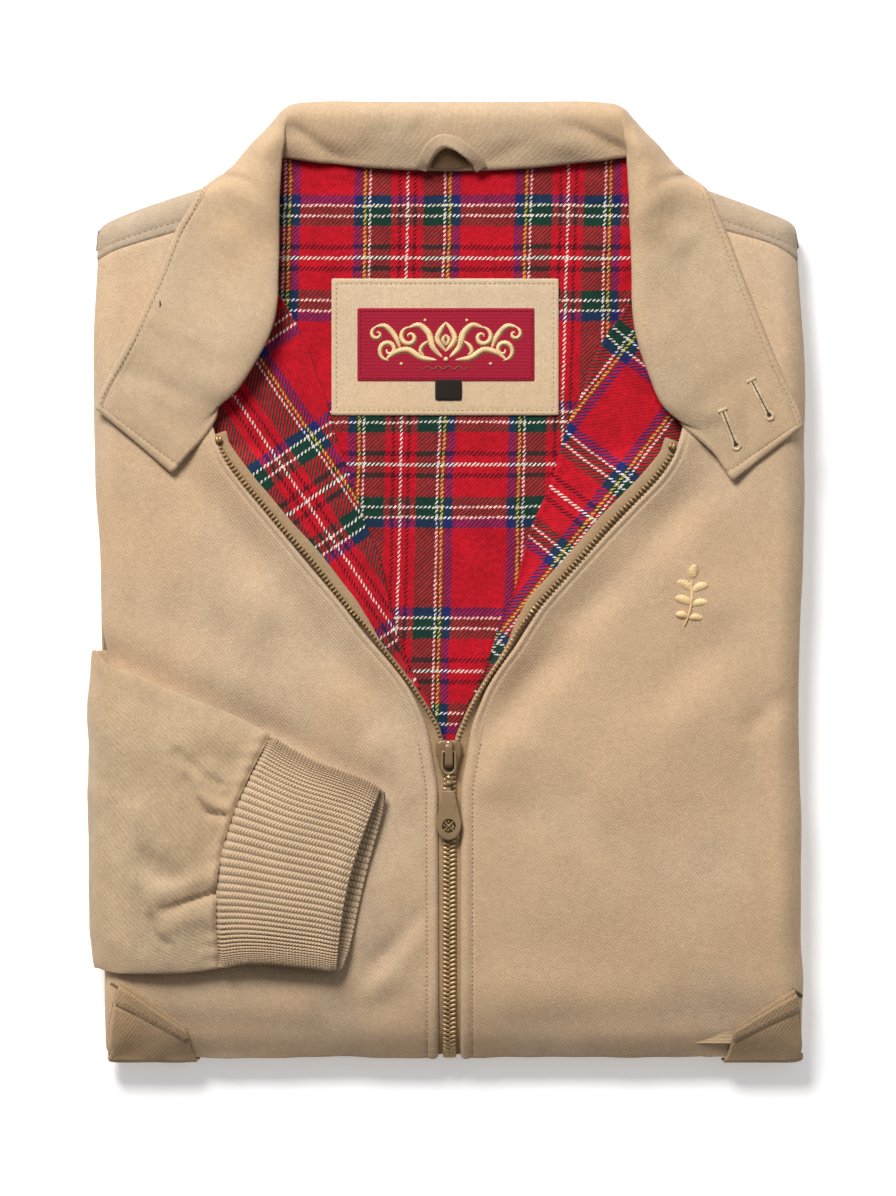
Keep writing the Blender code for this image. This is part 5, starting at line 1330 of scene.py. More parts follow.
RIBS = 112            # all round the cuff
POINTS_PER_RIB = 5


def build_cuff():
    count = RIBS * POINTS_PER_RIB
    angles = 2 * math.pi * np.arange(count) / count
    spaced = angles - 0.16 * np.sin(2 * angles)
    places = np.concatenate([np.linspace(0.0, 0.1, 12)[:-1], np.linspace(0.1, 1.0, 46)])
    skins = []
    for skin in (0.0, CUFF_WALL):
        rings = []
        for index, (top_x, top_y, bottom_x, bottom_y, bow, thickness) in enumerate(CUFF_ROWS):
            reach = LOWER_LAYER_REACH * (index / (len(CUFF_ROWS) - 1)) ** 2
            aside = -1.5 if index == 0 else 0.4
            rings.append(tube_points((top_x + aside, top_y), (bottom_x + aside, bottom_y), bow,
                                     thickness, spaced, skin, reach))
        skins.append(curve_at(np.array(rings), places))
    outer, inner = skins
    normals = tube_normals(outer)
    upper = smooth_step((np.sin(spaced) + 0.15) / 0.4)[None, :]
    along = places[:, None]
    rib = 0.42 * (1.0 - 2.0 * ((1.0 - np.cos(angles * RIBS)) / 2.0) ** 2.5)[None, :]
    mouth = smooth_step((along - 0.90) / 0.10)
    belly = np.sin(along * math.pi) * upper
    seam_pinch = -3.4 * hill(along, 0.030) * upper
    wide = 0.5 * ripple(outer[..., 0], outer[..., 1], 50.0, 81)
    scallop = 0.35 * rib * hill(along - 0.05, 0.05)
    shift = rib * (1.0 - 0.25 * mouth) + scallop + belly + wide * upper + seam_pinch - mouth ** 2
    outer = outer + normals * shift[..., None]
    inner = inner + normals * ((wide + belly + seam_pinch) * upper - 0.25 * rib)[..., None]
    piece = tube_piece("knit_cuff", outer, inner, cuff_knit, "rib_knit",
                       tube_uv(outer, angles / (2 * math.pi) * RIBS + 0.25))
    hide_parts("cuff_right")


# ---------------------------------------------------------------- zip

OPEN_PITCH = 2.3
CHAIN_PITCH = 2.4
TOOTH_TILT = math.radians(20.0)


def surface_frame(x, y):
    """A point of the body surface with its directions to the side, along and out."""
    here = body_at(x, y)
    side = unit(body_at(x + 0.2, y) - here)
    along = unit(body_at(x, y + 0.2) - here)
    return here, side, along, unit(np.cross(side, along))


def tooth(centre, across, along, out, length, width, height):
    """One cast tooth: a rounded bar, fatter at its head."""
    stations = ((-0.5, 0.35, 0.35), (-0.42, 0.8, 0.85), (-0.15, 1.0, 1.0), (0.12, 0.92, 1.0),
                (0.34, 0.7, 0.85), (0.5, 0.35, 0.4))
    verts = []
    for place, wide, tall in stations:
        for corner in range(8):
            angle = 2 * math.pi * (corner + 0.5) / 8
            verts.append(centre + across * place * length
                         + along * squared(math.cos(angle), 0.7) * width / 2 * wide
                         + out * squared(math.sin(angle), 0.7) * height / 2 * tall)
    return verts, capped_faces(len(stations), 8)


def build_chain():
    """The closed chain, from the slider round the bottom fold, its teeth from both sides by turns."""
    parts = []
    for number, y in enumerate(np.arange(-101.0, under_y(UNDER_HEM_Y - 1.5), -CHAIN_PITCH / 2)):
        side = -1 if number % 2 else 1
        here, across, along, out = surface_frame(ZIP_X, y)
        direction = -side * across * math.cos(TOOTH_TILT) - along * math.sin(TOOTH_TILT)
        forward = np.cross(out, direction)
        lift = -0.75 if y > under_y(-236.0) else -1.05
        centre = here + side * across * 1.55 + out * lift
        parts.append(tooth(centre, direction, forward, out, 4.1, 1.85, 1.7))
    piece = add_joined("zip_chain_teeth", parts, brass, "brass")
    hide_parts("zip_chain")


def open_row(table):
    """The open row from the slider to the top stop, in quarter teeth."""
    return resample(smooth_line(table, 600), OPEN_PITCH / 4)


def build_open_zip():
    for name, side, table in (("right", -1, RIGHT_TEETH), ("left", 1, LEFT_TEETH)):
        edge_table = RIGHT_FRONT_EDGE if side < 0 else LEFT_FRONT_EDGE
        path = open_row(table)
        lift = ridge_lift(path[:, 1])
        turned = smooth_step((path[:, 1] + 34.0) / 24.0)
        heading = unit(np.gradient(path, axis=0))
        sideways = np.stack([heading[:, 1], -heading[:, 0]], axis=-1)
        outward = sideways if sideways[len(path) // 2, 0] * side > 0 else -sideways
        teeth = []
        for number in range(9, len(path) - 7, 4):
            lean = 2 * turned[number] - 1
            direction = unit(np.append(outward[number] * lean, 1.0 - abs(lean)))
            along = np.append(heading[number], 0.0)
            here = body_at(*path[number]) + UP * lift[number]
            centre = here + np.append(outward[number], 0.0) * 0.9 * max(0.0, -lean)
            centre = centre + direction * 0.3
            long = mix(2.0, 2.9, turned[number])
            teeth.append(tooth(centre, direction, along, np.cross(direction, along), long, 1.4, 1.8))
        piece = add_joined("open_teeth_" + name, teeth, brass, "brass")
        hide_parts("zip_teeth_" + name)
        top_end = path[-1] + (path[-1] - path[-5]) * 0.6
        spots = np.concatenate([path, [top_end]])
        outs = np.concatenate([outward, outward[-1:]])
        lifts = np.append(lift, lift[-1])
        reach = tape_reach(spots[:, 1])
        edge_gap = np.abs(look_up(edge_table, spots[:, 1]) - spots[:, 0]) * 0.68
        places = np.linspace(0.0, 1.0, 9)
        grid = []
        for spot, away, rise, inner, gap in zip(spots, outs, lifts, reach, edge_gap):
            row = []
            for place in places:
                x, y = spot + away * mix(gap + 4.5, gap + 0.2, place)
                row.append(body_at(x, y) + UP * (-2.4 + 0.8 * place))
            for place in places[1:]:
                x, y = spot + away * mix(gap, -inner, place)
                shown = smooth_step(place / 0.45)
                arch = (rise - 0.9) * shown - 0.7 * (place ** 6) - 1.4 * (1.0 - shown)
                row.append(body_at(x, y) + UP * arch)
            grid.append(row)
        # The tape's dark colour is partly painted shade beside the teeth.
        piece = cloth("open_tape_" + name, np.array(grid), 0.0, -TAPE, tape_cloth_shaded, "zip_tape", side > 0)
        outer_x = -9.6 if side < 0 else 12.2
        closed = []
        for y in np.arange(-86.0, under_y(UNDER_HEM_Y - 1.0), -2.5):
            row = []
            for x in np.linspace(outer_x, ZIP_X + side * 0.15, 8):
                here, _, _, out = surface_frame(x, y)
                row.append(here - out * mix(1.9, 1.5, smooth_step((3.0 - abs(x - ZIP_X)) / 2.0)))
            closed.append(row)
        closed_piece = cloth("closed_tape_" + name, np.array(closed), 0.0, -TAPE, tape_cloth_shaded, "zip_tape",
                             side < 0)
        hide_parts("zip_tape_" + name)
        stop_at = len(path) - 4
        direction = np.append(outward[stop_at], 0.0)
        along = np.append(heading[stop_at], 0.0)
        centre = body_at(*path[stop_at]) + UP * (lift[stop_at] + 0.3)
        piece = add_joined("stop_" + name,
                           [tooth(centre, along, direction, UP, 4.4, 2.6, 2.4),
                            tooth(centre - direction * 1.6, along, direction, UP, 3.2, 2.2, 1.6)],
                           stop_metal, "brass")
        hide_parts("top_stop_" + name)


# ---------------------------------------------------------------- slider and pull

SLIDER_OUTLINE = [
    (-83.4, 4.6), (-84.6, 6.4), (-88.0, 6.9), (-91.5, 6.5), (-95.0, 5.3), (-98.0, 4.9),
    (-99.8, 3.9), (-100.6, 2.0)]
TAB_OUTLINE = [
    (3.9, 3.1), (5.0, 3.25), (7.0, 3.5), (10.5, 4.2), (16.0, 5.6), (20.5, 6.6), (24.0, 6.4),
    (27.0, 5.2), (29.0, 3.2), (29.9, 1.2)]
ROUNDEL_DOWN = 22.4
ROUNDEL_RADIUS = 3.7
BEAD_RADIUS = 1.45
LINK_HALF_WIDTH = 3.45
LINK_LOW_Y = -101.0


def closed_outline(rows):
    """The outline of a plate that is symmetric about the zip's middle, from (y, half width)."""
    right = [(PULL_X - half, y) for y, half in rows]
    left = [(PULL_X + half, y) for y, half in reversed(rows)]
    return resample(np.array(right + left + right[:1]), 0.6)[:-1]


def domed(outline, levels):
    """A plate whose outline shrinks towards its top: levels are (inset, z)."""
    centre = outline.mean(axis=0)
    verts = []
    for inset, z in levels:
        reach = np.linalg.norm(outline - centre, axis=1, keepdims=True)
        ring = centre + (outline - centre) * np.maximum(0.0, 1.0 - inset / reach)
        verts += [(x, y, z) for x, y in ring]
    return verts, capped_faces(len(levels), len(outline))


def build_slider():
    plate = domed(closed_outline(SLIDER_OUTLINE),
                  [(0.5, 33.7), (0.1, 34.0), (0.0, 34.5), (0.15, 34.9), (0.6, 35.25),
                   (1.3, 35.45), (2.6, 35.5)])
    bridge = smooth_line([(PULL_X, y, z) for y, z in (
        (-84.7, 34.9), (-85.1, 36.6), (-86.3, 37.9), (-88.5, 38.2),
        (-94.0, 38.2), (-96.4, 37.8), (-97.6, 36.4), (-97.9, 34.9))], 28)
    piece = add_joined("slider_body", [plate, flat_strap(bridge, 2.1, 0.62)], paint, "painted_metal")
    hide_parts("slider")
    # A light brass ball on the bridge's top end: partly a painted highlight.
    add_piece("slider_rivet_highlight", *ball((PULL_X - 0.2, -84.9, 36.2), BEAD_RADIUS), highlight_brass,
              "painted_metal")
    # A thin dark oval round the bridge: painted shade in the recess.
    turns = np.linspace(0, 2 * math.pi, 60)[:-1]
    oval = np.stack([PULL_X + 3.3 * squared(np.cos(turns), 0.7),
                     -93.4 + 6.4 * squared(np.sin(turns), 0.7)], axis=-1)
    add_piece("slider_recess_shade", *domed(oval, [(0.0, 35.3), (0.1, 35.52), (0.6, 35.56)]), recess_shade_paint,
              "painted_metal")


def flat_strap(path, half_width, half_thick, sides=16):
    """A rounded strap along a path in the YZ plane, wide in X."""
    across = np.array([1.0, 0.0, 0.0])
    verts = []
    for point, up in zip(path, np.cross(across, unit(np.gradient(path, axis=0)))):
        for index in range(sides):
            angle = 2 * math.pi * index / sides
            verts.append(point + across * squared(math.cos(angle), 0.5) * half_width
                         + up * squared(math.sin(angle), 0.8) * half_thick)
    return verts, capped_faces(len(path), sides)


def build_link():
    """The long ring on the bridge, its bead, and the eye that holds the tab."""
    centres = []
    for side, first, radius in ((1, 0.0, 1.2), (-1, 90.0, 1.2), (-1, 180.0, 3.2), (1, 270.0, 3.2)):
        cx = PULL_X + side * (LINK_HALF_WIDTH - radius)
        cy = BRIDGE_Y - radius if first < 180.0 else LINK_LOW_Y + radius
        for angle in np.radians(first + np.linspace(0.0, 90.0, 8)):
            centres.append((cx + radius * math.cos(angle), cy + radius * math.sin(angle), PIVOT_Z))
    ring = sweep(resample(centres + centres[:1], 0.5)[:-1], 0.78, 12, closed=True)
    eye = sweep([(PULL_X + x, LINK_BAR_Y, PIVOT_Z) for x in (-1.9, 0.0, 1.9)], 0.62, 12)
    arms = [sweep([(PULL_X + side * 1.9, LINK_BAR_Y - 0.2, PIVOT_Z),
                   (PULL_X + side * 1.7, -104.6, PIVOT_Z),
                   (PULL_X + side * 0.7, -102.2, PIVOT_Z + 0.1)], 0.6, 10) for side in (-1, 1)]
    piece = add_joined("link_ring", [ring, eye] + arms, pull_paint, "painted_metal", body="pull_link")
    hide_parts("pull_link")
    # A light brass ball on the link: partly a painted highlight.
    add_piece("link_bead_highlight", *ball((PULL_X - 0.1, -103.0, PIVOT_Z + 0.5), BEAD_RADIUS), highlight_brass,
              "painted_metal", body="pull_link")


def build_tab():
    """The tab with a pierced roundel; a small curl holds it on the link's eye."""
    centre = np.array([PULL_X, LINK_BAR_Y - ROUNDEL_DOWN])
    outline = closed_outline([(LINK_BAR_Y - down, half) for down, half in TAB_OUTLINE])
    hole = centre + ROUNDEL_RADIUS * unit(outline - centre)
    shapes = [(0.0, 0.10, -0.80), (0.0, 0.0, -0.5), (0.0, 0.0, 0.45), (0.0, 0.25, 0.75),
              (0.0, 0.7, 0.85), (0.62, 0.0, 0.85), (0.80, 0.0, 0.95), (1.0, 0.0, 0.95),
              (1.0, 0.0, -0.80)]        # share of the way to the hole, inset, rise
    verts = []
    for towards, inset, rise in shapes:
        ring = mix(outline - unit(outline - centre) * inset, hole, towards)
        down = LINK_BAR_Y - ring[:, 1]
        bend = 0.45 * hill(down - 9.6, 1.6) * (1.0 if rise > 0 else 0.0)
        verts += [(x, y, PIVOT_Z + rise + lift) for (x, y), lift in zip(ring, bend)]
    parts = [(verts, ring_faces(len(shapes), len(outline), True))]

    def spot(turn, reach, rise=0.0):
        angle = math.radians(turn)
        return (centre[0] + reach * math.cos(angle), centre[1] + reach * math.sin(angle), PIVOT_Z + rise)

    reach = ROUNDEL_RADIUS + 0.2
    for turn in (45.0, 135.0):
        line = [spot(turn, -reach), spot(turn, 0.0, 0.35), spot(turn, reach)]
        parts.append(sweep(smooth_line(line, 9), 0.42, 8))
    parts.append(ball(spot(0.0, 0.0, 0.2), 1.0, 6, 12))
    parts += [ball(spot(turn, 2.2), 0.62, 6, 10) for turn in (0.0, 90.0, 180.0, 270.0)]
    curl = [(PULL_X, LINK_BAR_Y - 4.4, PIVOT_Z - 0.1), (PULL_X, LINK_BAR_Y - 2.6, PIVOT_Z - 0.2)]
    curl += [(PULL_X, LINK_BAR_Y + 1.35 * math.cos(a), PIVOT_Z + 1.35 * math.sin(a))
             for a in np.radians(np.linspace(200.0, -130.0, 24))]
    parts.append(flat_strap(np.array(curl), 1.15, 0.35))
    piece = add_joined("tab_body", parts, pull_paint, "painted_metal", body="pull_tab")
    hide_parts("pull_tab")


# ---------------------------------------------------------------- pocket welts

WELT_LIFT = 1.1
WELT_WALL = 1.6


def welt_surface(side, down_from, down_to, columns):
    """The welt's patch of body surface, its cloth places and how far down each point lies."""
    corner_x = -171.6 if side < 0 else 182.4
    inner_x = -137.8 if side < 0 else 152.1
    share = np.linspace(0.0, 1.0, 60)[:, None]
    down = np.linspace(down_from, down_to, columns)[None, :]
    top_x = mix(corner_x, inner_x, share)
    top_y = mix(-213.4 if side < 0 else -217.6, -236.0, share)
    low_x = mix(corner_x + side * 9.0, inner_x - side * 6.5, share)
    bottom_y = LOW_START - math.pi * BOTTOM_ROLL * 0.62
    cx = mix(top_x, low_x, down)
    cy = mix(top_y, bottom_y, down)
    return body_at(cx, cy), np.stack([cx, cy], axis=-1), down * np.ones_like(share)


def build_welts():
    for name, side in (("right", -1), ("left", 1)):
        flip = side > 0
        grid, uv, down = welt_surface(side, 0.0, 1.0, 46)
        arc = down * 40.0
        relief = 0.7 * (1.0 - smooth_step((arc - 5.6) / 1.2)) - 0.5 * hill(arc - 7.2, 0.8)
        relief = relief + 0.4 * ripple(uv[..., 0], uv[..., 1], 26.0, 91 + side)
        grid = raised(grid, relief, flip)
        # The welts' darker colour is painted shade.
        piece = cloth("welt_" + name, grid, WELT_LIFT + WELT_WALL, WELT_LIFT, welt_cloth_shaded, "khaki_twill",
                      flip, uv=uv, puff=0.6)
        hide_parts("pocket_welt_" + name)
        under, under_uv, _ = welt_surface(side, -0.045, 0.25, 14)
        lower = cloth("welt_edge_" + name, under, WELT_LIFT + 0.9, WELT_LIFT - 0.7, welt_cloth_shaded,
                      "khaki_twill", flip, uv=under_uv, puff=0.7)
        column = nearest_place(arc[0], 4.6)
        normals = grid_normals(grid, flip)[4:-3, column]
        line = grid[4:-3, column] + normals * (WELT_LIFT + WELT_WALL)
        add_joined("stitches_welt_" + name, stitch_row(line, normals, 2.7, 1.9, 0.4, seed=95 + side),
                   thread, "khaki_twill")


def build_seam_lines(fronts_made):
    """The shadowed seam lines: shoulder seams, pocket mouths and their back-tacks."""
    def on_body(points, pitch, lift):
        return np.array([body_at(x, y) + UP * lift for x, y in resample(points, pitch)])

    parts = [sweep(on_body(points, 1.5, -0.1), 0.55, 6) for points in (
        [(-173.0, -212.0), (-176.5, -224.0), (-180.5, -238.0)],
        [(184.0, -217.0), (186.5, -226.0), (188.0, -238.0)],
        [(-175.8, -210.6), (-174.0, -212.8)])]
    parts += [sweep(on_body(points, 0.8, 0.2), radius, 8, flat=0.6) for points, radius in (
        ([(-177.5, -211.5), (-173.0, -213.8)], 0.9), ([(181.5, -214.8), (189.2, -218.8)], 1.0))]
    add_joined("seam_shadows", parts, painted_seam_shadow, "khaki_twill")
    seams = []
    for grid, normals in fronts_made.values():
        edge = (grid + normals * 0.1)[0, ::2]
        shown = edge[np.abs(edge[:, 0]) > 92.0]
        seams.append(sweep(shown + (0.0, 0.35, 0.0), 0.42, 6))
    add_joined("shoulder_seam_shadow", seams, painted_seam_shadow, "khaki_twill")


# ---------------------------------------------------------------- labels and loop


def on_lining(x, y, lift):
    """Height of a trim that lies on the back lining."""
    return look_up(LINING_HEIGHT, y) + lift + 0.5 * ripple(x, y, 60.0, 41)


def patch_grid(x0, x1, y0, y1, lift, rows, columns):
    x, y = np.meshgrid(np.linspace(x0, x1, columns), np.linspace(y0, y1, rows))
    return np.stack([x, y, on_lining(x, y, lift)], axis=-1)


def stitch_round(name, grid, inset, lift, pitch, length, width, seed, finish, slot_name):
    """Stitches on a closed line round a grid, some cells in from its edge."""
    i = inset
    line = np.concatenate([grid[i, i:-i], grid[i:-i, -i - 1], grid[-i - 1, i:-i][::-1],
                           grid[i:-i, i][::-1]]) + UP * lift
    parts = stitch_row(line, np.tile(UP, (len(line), 1)), pitch, length, width, seed=seed)
    add_joined(name, parts, finish, slot_name)


def build_labels():
    rows, columns = 72, 119
    grid = patch_grid(-60.2, 58.1, 88.0, 158.8, 0.9, rows, columns)
    from_top, from_side = (np.minimum(np.arange(count), np.arange(count)[::-1])
                           for count in (rows, columns))
    edge = np.minimum(from_top[:, None], from_side[None, :])
    grid[..., 2] += -0.25 * hill(edge - 2.0, 0.9) + 0.2 * hill(edge - 0.8, 0.7)
    piece = cloth("neck_patch_cloth", grid, 0.5, -0.6, patch_cloth, "khaki_twill", puff=0.6)
    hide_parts("neck_patch")
    stitch_round("stitches_patch", grid, 2, 0.5, 2.6, 1.7, 0.4, 7, thread, "khaki_twill")
    label = patch_grid(-46.6, 45.4, 106.0, 143.2, 1.75, 40, 93)
    piece = cloth("woven_label_cloth", label, 0.35, -0.35, label_red, "label_red", puff=0.9)
    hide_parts("woven_label")
    stitch_round("stitches_label", label, 1, 0.35, 2.3, 1.5, 0.45, 8, label_edge, "label_red")
    tab = patch_grid(-5.5, 7.0, 96.0, 105.5, 2.0, 12, 14)
    piece = cloth("size_tab_cloth", tab, 0.45, -0.45, tab_cloth, "tab_black", puff=0.9)
    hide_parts("size_tab")


def spiral(x, y, radius, turns, start, direction):
    """Points of a scroll that winds in from its start angle to its middle."""
    t = np.linspace(0.0, 1.0, 60)
    angle = start + direction * 2 * math.pi * turns * t
    reach = radius * (1.0 - 0.86 * t)
    return np.stack([x + reach * np.cos(angle), y + reach * np.sin(angle)], axis=-1)


def thread_line(points, base, width, height):
    """A raised line of satin stitch on the label or the cloth below it."""
    path = resample(points, 0.5)
    z = base(path[:, 0], path[:, 1])
    share = np.linspace(0.0, 1.0, len(path))
    radii = np.maximum(width / 2 * np.sin(share * math.pi) ** 0.45, 0.16)
    ribs = 1.0 + 0.10 * np.sin(np.arange(len(path)) * 2.1)
    return sweep(np.stack([path[:, 0], path[:, 1], z], axis=-1), radii * ribs, 8, flat=height / width * 2)


def build_label_ornament():
    """A generic scroll ornament in gold thread, in place of the label's figure."""
    def base(x, y):
        return on_lining(x, y, 2.15)

    def below(x, y):
        return on_lining(x, y, 1.9)

    middle = np.array([-0.6, 125.4])
    quarter = math.pi / 2
    strokes = [  # half of the ornament from its middle: points and thread width
        (smooth_line([(2.0, -7.5), (7.0, -2.0), (9.0, 5.0), (14.0, 9.5), (20.0, 8.0)], 40), 2.6),
        (spiral(19.2, 3.2, 5.2, 1.25, quarter, -1), 1.9),
        (smooth_line([(5.0, -9.0), (13.0, -7.5), (20.0, -3.5), (27.0, -5.0), (32.0, -9.0)], 40), 2.4),
        (spiral(30.2, -3.6, 5.6, 1.3, -quarter, 1), 1.9),
        (smooth_line([(24.0, -3.0), (27.0, 4.0), (32.0, 9.0), (37.5, 8.5)], 30), 2.2),
        (spiral(36.2, 4.9, 3.6, 1.1, quarter, -1), 1.5),
        (smooth_line([(9.5, 1.0), (12.5, -1.5), (13.5, -4.5), (11.5, -6.5)], 24), 1.7),
        (smooth_line([(0.0, 11.0), (3.4, 6.0), (4.4, 1.5), (0.0, -4.5)], 24), 2.2),
        (smooth_line([(0.0, 4.5), (1.6, 1.8), (0.0, -1.5)], 16), 1.6)]
    lines, shadows = [], []
    for points, width in strokes:
        for sign in (-1, 1):
            mirrored = middle + points * (sign, 1)
            lines.append(thread_line(mirrored, base, width * 1.2, 0.9))
            # A wider dark copy, shifted down and to the right: outline and painted drop shadow.
            shadows.append(thread_line(mirrored + (0.25, -0.35), below, width * 1.2 + 1.2, 0.5))
    for dx, dy, size in ((0.0, -8.6, 1.3), (-23.5, -11.0, 0.9), (23.5, -11.0, 0.9),
                         (-11.0, 12.0, 0.8), (11.0, 12.0, 0.8)):
        x, y = middle + (dx, dy)
        lines.append(ball((x, y, base(x, y)), size, 6, 12))
    small = [(middle[0] + x, 112.2 + 0.8 * math.sin(x * 1.15)) for x in np.linspace(-14.0, 14.0, 70)]
    shadows.append(thread_line(small, base, 0.7, 0.5))
    add_joined("label_ornament", lines, gold, "gold_thread")
    add_joined("label_ornament_shade", shadows, gold_outline_and_shadow, "gold_thread")


SPRIG_SCALE = 1.22


def build_motif(front):
    """A leaf sprig in gold satin stitch on the wearer's left chest."""
    grid, _ = front
    cloud = grid[:150].reshape(-1, 3)
    near = cloud[(np.abs(cloud[:, 0] - 128.2) < 14) & (np.abs(cloud[:, 1] + 8.7) < 20)]
    plane = np.linalg.lstsq(np.c_[near[:, :2], np.ones(len(near))], near[:, 2], rcond=None)[0]
    parts, rims = [], []

    def base(x, y):
        return plane[0] * x + plane[1] * y + plane[2] + 0.15

    def embroider(line, width, height, rim_width):
        line = line + (128.0, -8.9)
        parts.append(thread_line(line, base, width, height))
        rims.append(thread_line(line, lambda x, y: base(x, y) - 0.2, rim_width, 0.5))

    stem = [(-3.6, -15.0), (-0.8, -8.0), (0.6, 0.0), (0.2, 7.0), (1.8, 11.0)]
    embroider(smooth_line(stem, 40), 1.7, 0.9, 2.8)
    leaves = [  # foot x, y; angle; length, width
        (0.8, 8.0, 78.0, 6.6, 4.0), (0.5, 3.2, 148.0, 7.6, 3.9), (0.7, 2.8, 22.0, 7.4, 3.9),
        (0.3, -2.8, 158.0, 7.8, 3.8), (0.4, -3.2, 10.0, 7.4, 3.7), (-1.0, -8.4, 168.0, 5.8, 3.1),
        (-0.8, -8.6, -4.0, 6.0, 3.1)]
    for dx, dy, angle, length, width in leaves:
        tip = np.array([math.cos(math.radians(angle)), math.sin(math.radians(angle))]) * length
        bend = 0.9 if 90 > angle > -90 else -0.9
        foot = SPRIG_SCALE * np.array([dx, dy])
        tip = SPRIG_SCALE * tip
        middle = tip / 2 + unit(np.array([-tip[1], tip[0]])) * bend
        line = smooth_line([foot, foot + middle, foot + tip], 24)
        embroider(line, SPRIG_SCALE * width, 1.0, SPRIG_SCALE * width + 1.3)
    piece = add_joined("chest_sprig", parts, gold, "gold_thread")
    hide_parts("chest_motif")
    add_joined("chest_sprig_edge", rims, copper_thread, "gold_thread")


def build_hanger_loop():
    path = smooth_line([(-13.6, 216.8, 24.2), (-12.0, 221.5, 28.4), (-7.6, 228.4, 32.4),
                        (-2.2, 231.4, 33.6), (4.0, 229.9, 33.4), (9.6, 226.4, 32.0),
                        (14.8, 222.2, 28.6), (17.8, 217.0, 24.4)], 70)
    heading = np.gradient(path, axis=0)
    sideways = unit(np.stack([heading[:, 1], -heading[:, 0], np.zeros(len(path))], axis=-1))
    grid = path[:, None] + sideways[:, None] * np.linspace(-2.7, 2.7, 9)[None, :, None]
    inside = [(-8.6, 217.4, 24.9), (-7.4, 221.5, 26.6), (-4.4, 225.6, 28.2), (-1.0, 227.6, 28.8),
              (4.4, 226.2, 28.4), (9.0, 222.6, 27.2), (12.4, 218.4, 25.4), (3.0, 217.0, 24.6)]
    # A dark sheet under the loop's arch: painted shadow.
    add_piece("hanger_loop_shadow", inside, [tuple(range(len(inside)))[::-1]], painted_seam_shadow,
              "khaki_twill")
    piece = cloth("hanger_loop_cloth", grid, 1.0, 0.0, collar_cloth, "khaki_twill", puff=0.6)
    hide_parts("hanger_loop")


def build_buttonholes(face):
    """Two keyhole buttonholes on the wearer's left leaf, and a thread mark on the other."""
    rims, slits = [], []

    def lay(x, y, lift):
        return (x, y, surface_height(face, x, y) + lift)

    for bar, eye in (((159.6, 105.5), (169.2, 86.6)), ((144.4, 89.6), (151.8, 71.0))):
        bar, eye = np.array(bar), np.array(eye)
        heading = unit(eye - bar)
        side = np.array([heading[1], -heading[0]])
        shares = np.linspace(0.04, 0.86, 18)
        outline = [mix(bar, eye, share) + side * 1.05 for share in shares]
        outline += [eye + 2.0 * (heading * math.cos(a) + side * math.sin(a))
                    for a in np.radians(np.linspace(140.0, -140.0, 18))]
        outline += [mix(bar, eye, share) - side * 1.05 for share in shares[::-1]]
        path = np.array([lay(x, y, 0.12) for x, y in resample(outline, 0.7)])
        path[:, 2] = np.convolve(np.pad(path[:, 2], 3, mode="edge"), np.ones(7) / 7, mode="valid")
        beads = 0.78 * (1.0 + 0.12 * np.sin(np.arange(len(path)) * 2.0))
        rims.append(sweep(path, beads, 8, flat=0.75))
        tack = [lay(*(bar + side * offset), 0.25) for offset in (-2.6, -1.2, 0.0, 1.2, 2.6)]
        rims.append(sweep(tack, [0.7, 1.0, 1.05, 1.0, 0.7], 8, flat=0.8))
        # The slit is a near-black tube: painted shadow in the cut.
        slit = [lay(*mix(bar, eye, share), 0.02) for share in np.linspace(0.08, 1.0, 12)]
        width = np.array([0.28] * 9 + [0.5, 0.85, 1.05])
        slits.append(sweep(slit, width, 8, flat=0.3))
    mark = [lay(-150.6 + dx, 145.6 + dy, 0.1) for dx, dy in ((-0.2, 1.6), (0.1, 0.0), (-0.1, -1.6))]
    slits.append(sweep(mark, [0.25, 0.4, 0.25], 6))
    add_joined("buttonhole_rims", rims, light_thread, "khaki_twill")
    add_joined("buttonhole_slits", slits, slit_shadow_and_thread_mark, "khaki_twill")


# ---------------------------------------------------------------- floor, light and camera


FLOOR_REACH, FLOOR_Z = 3.0, -0.0016     # metres
VISIBLE_HEIGHT = 0.6295                 # of the photo, halfway up the jacket
VIEW_X, VIEW_Y, VIEW_Z = 0.0005, -0.0089, 0.024


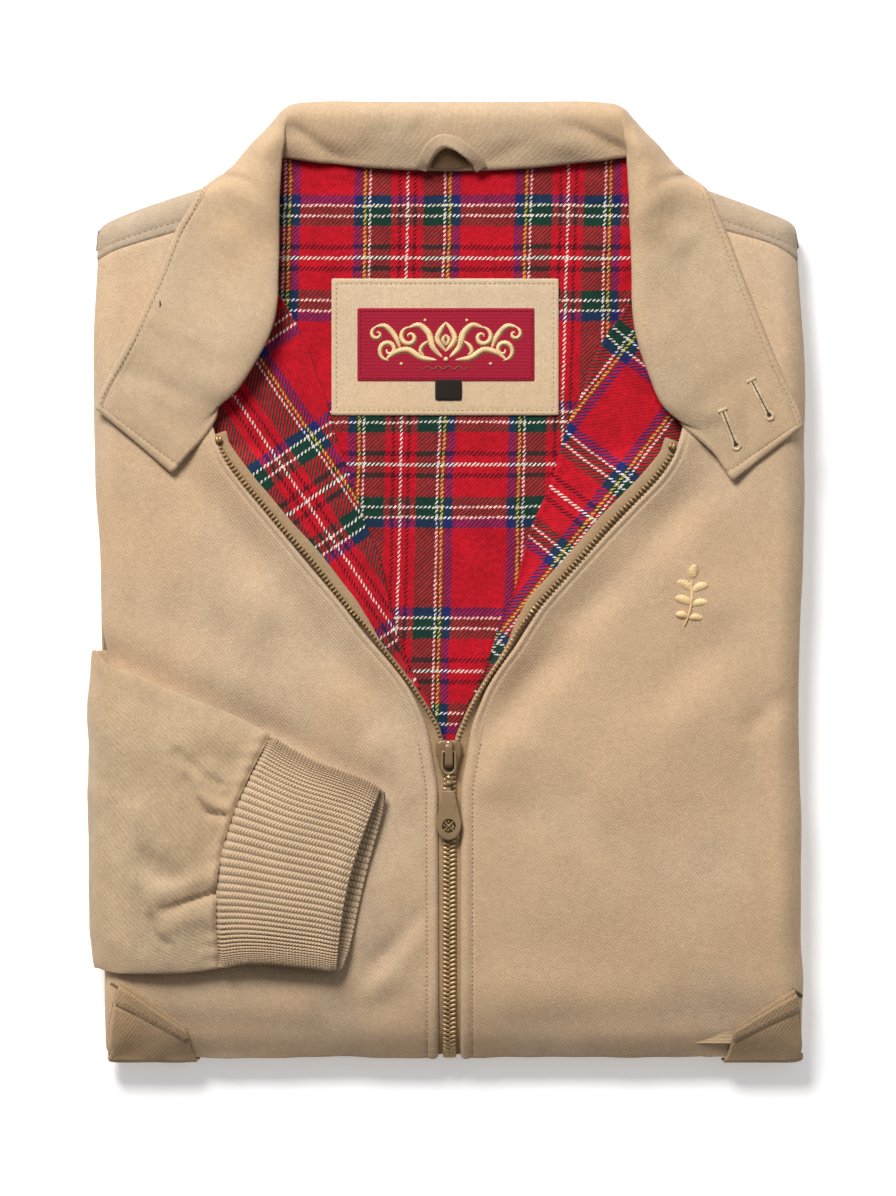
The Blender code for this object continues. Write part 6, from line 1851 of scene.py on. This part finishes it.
def build_stage():
    mesh = bpy.data.meshes.new("floor")
    mesh.from_pydata([(x * FLOOR_REACH, y * FLOOR_REACH, FLOOR_Z)
                      for x, y in ((-1, -1), (1, -1), (1, 1), (-1, 1))], [], [(0, 1, 2, 3)])
    floor = bpy.data.objects.new("floor", mesh)
    scene.collection.objects.link(floor)
    g = Graph("studio_floor", roughness=0.95, specular=0.1)
    fine = g.noise(40.0, 2.0)
    g.shader.inputs["Emission Color"].default_value = (1.0, 1.0, 1.0, 1.0)
    g.shader.inputs["Emission Strength"].default_value = 0.33
    mesh.materials.append(g.finish(g.ramp(fine, [(0.0, (0.86, 0.86, 0.86)), (1.0, (0.89, 0.89, 0.89))])))
    for name, place, size, power, colour in (
            ("key", (-0.85, 2.02, 2.15), 1.20, 115.0, (1.0, 0.985, 0.97)),
            ("fill", (0.9, 0.2, 1.9), 1.8, 4.0, (0.97, 0.985, 1.0))):
        data = bpy.data.lights.new(name, "AREA")
        data.shape = "DISK"
        data.size = size
        data.energy = power
        data.color = colour
        lamp = bpy.data.objects.new(name, data)
        scene.collection.objects.link(lamp)
        lamp.location = place
        lamp.rotation_euler = (-Vector(place)).to_track_quat("-Z", "Y").to_euler()
    world = bpy.data.worlds.new("studio")
    world.use_nodes = True
    tree = world.node_tree
    tree.nodes["Background"].inputs[0].default_value = (1.0, 1.0, 1.0, 1.0)
    where = tree.nodes.new("ShaderNodeTexCoord")
    split = tree.nodes.new("ShaderNodeSeparateXYZ")
    fall = tree.nodes.new("ShaderNodeMapRange")
    for socket, value in ((1, -0.5), (2, 0.5), (3, 0.04), (4, 0.39)):
        fall.inputs[socket].default_value = value
    tree.links.new(where.outputs["Generated"], split.inputs[0])
    tree.links.new(split.outputs["Y"], fall.inputs[0])
    tree.links.new(fall.outputs[0], tree.nodes["Background"].inputs[1])
    scene.world = world
    camera_data = bpy.data.cameras.new("camera")
    camera_data.lens = 200.0
    camera_data.sensor_width = 36.0
    camera_data.clip_end = 20.0
    camera = bpy.data.objects.new("camera", camera_data)
    scene.collection.objects.link(camera)
    distance = VISIBLE_HEIGHT * camera_data.lens / camera_data.sensor_width
    camera.location = (VIEW_X, VIEW_Y, VIEW_Z + distance)
    camera.rotation_euler = (0.0, 0.0, 0.0)
    scene.camera = camera
    scene.view_settings.view_transform = "Standard"


# ---------------------------------------------------------------- build

fronts = build_fronts()
build_back()
build_waistband()
build_layers()
build_lining_back()
build_lining_fronts()
collar_face, collar_normals, collar_uv = build_collar()
collar_stitching(collar_face, collar_normals, collar_uv)
build_buttonholes(collar_face)
build_sleeve()
build_cuff()
build_chain()
build_open_zip()
build_slider()
build_link()
build_tab()
build_welts()
build_seam_lines(fronts)
build_labels()
build_label_ornament()
build_motif(fronts["front_left"])
build_hanger_loop()
build_stage()
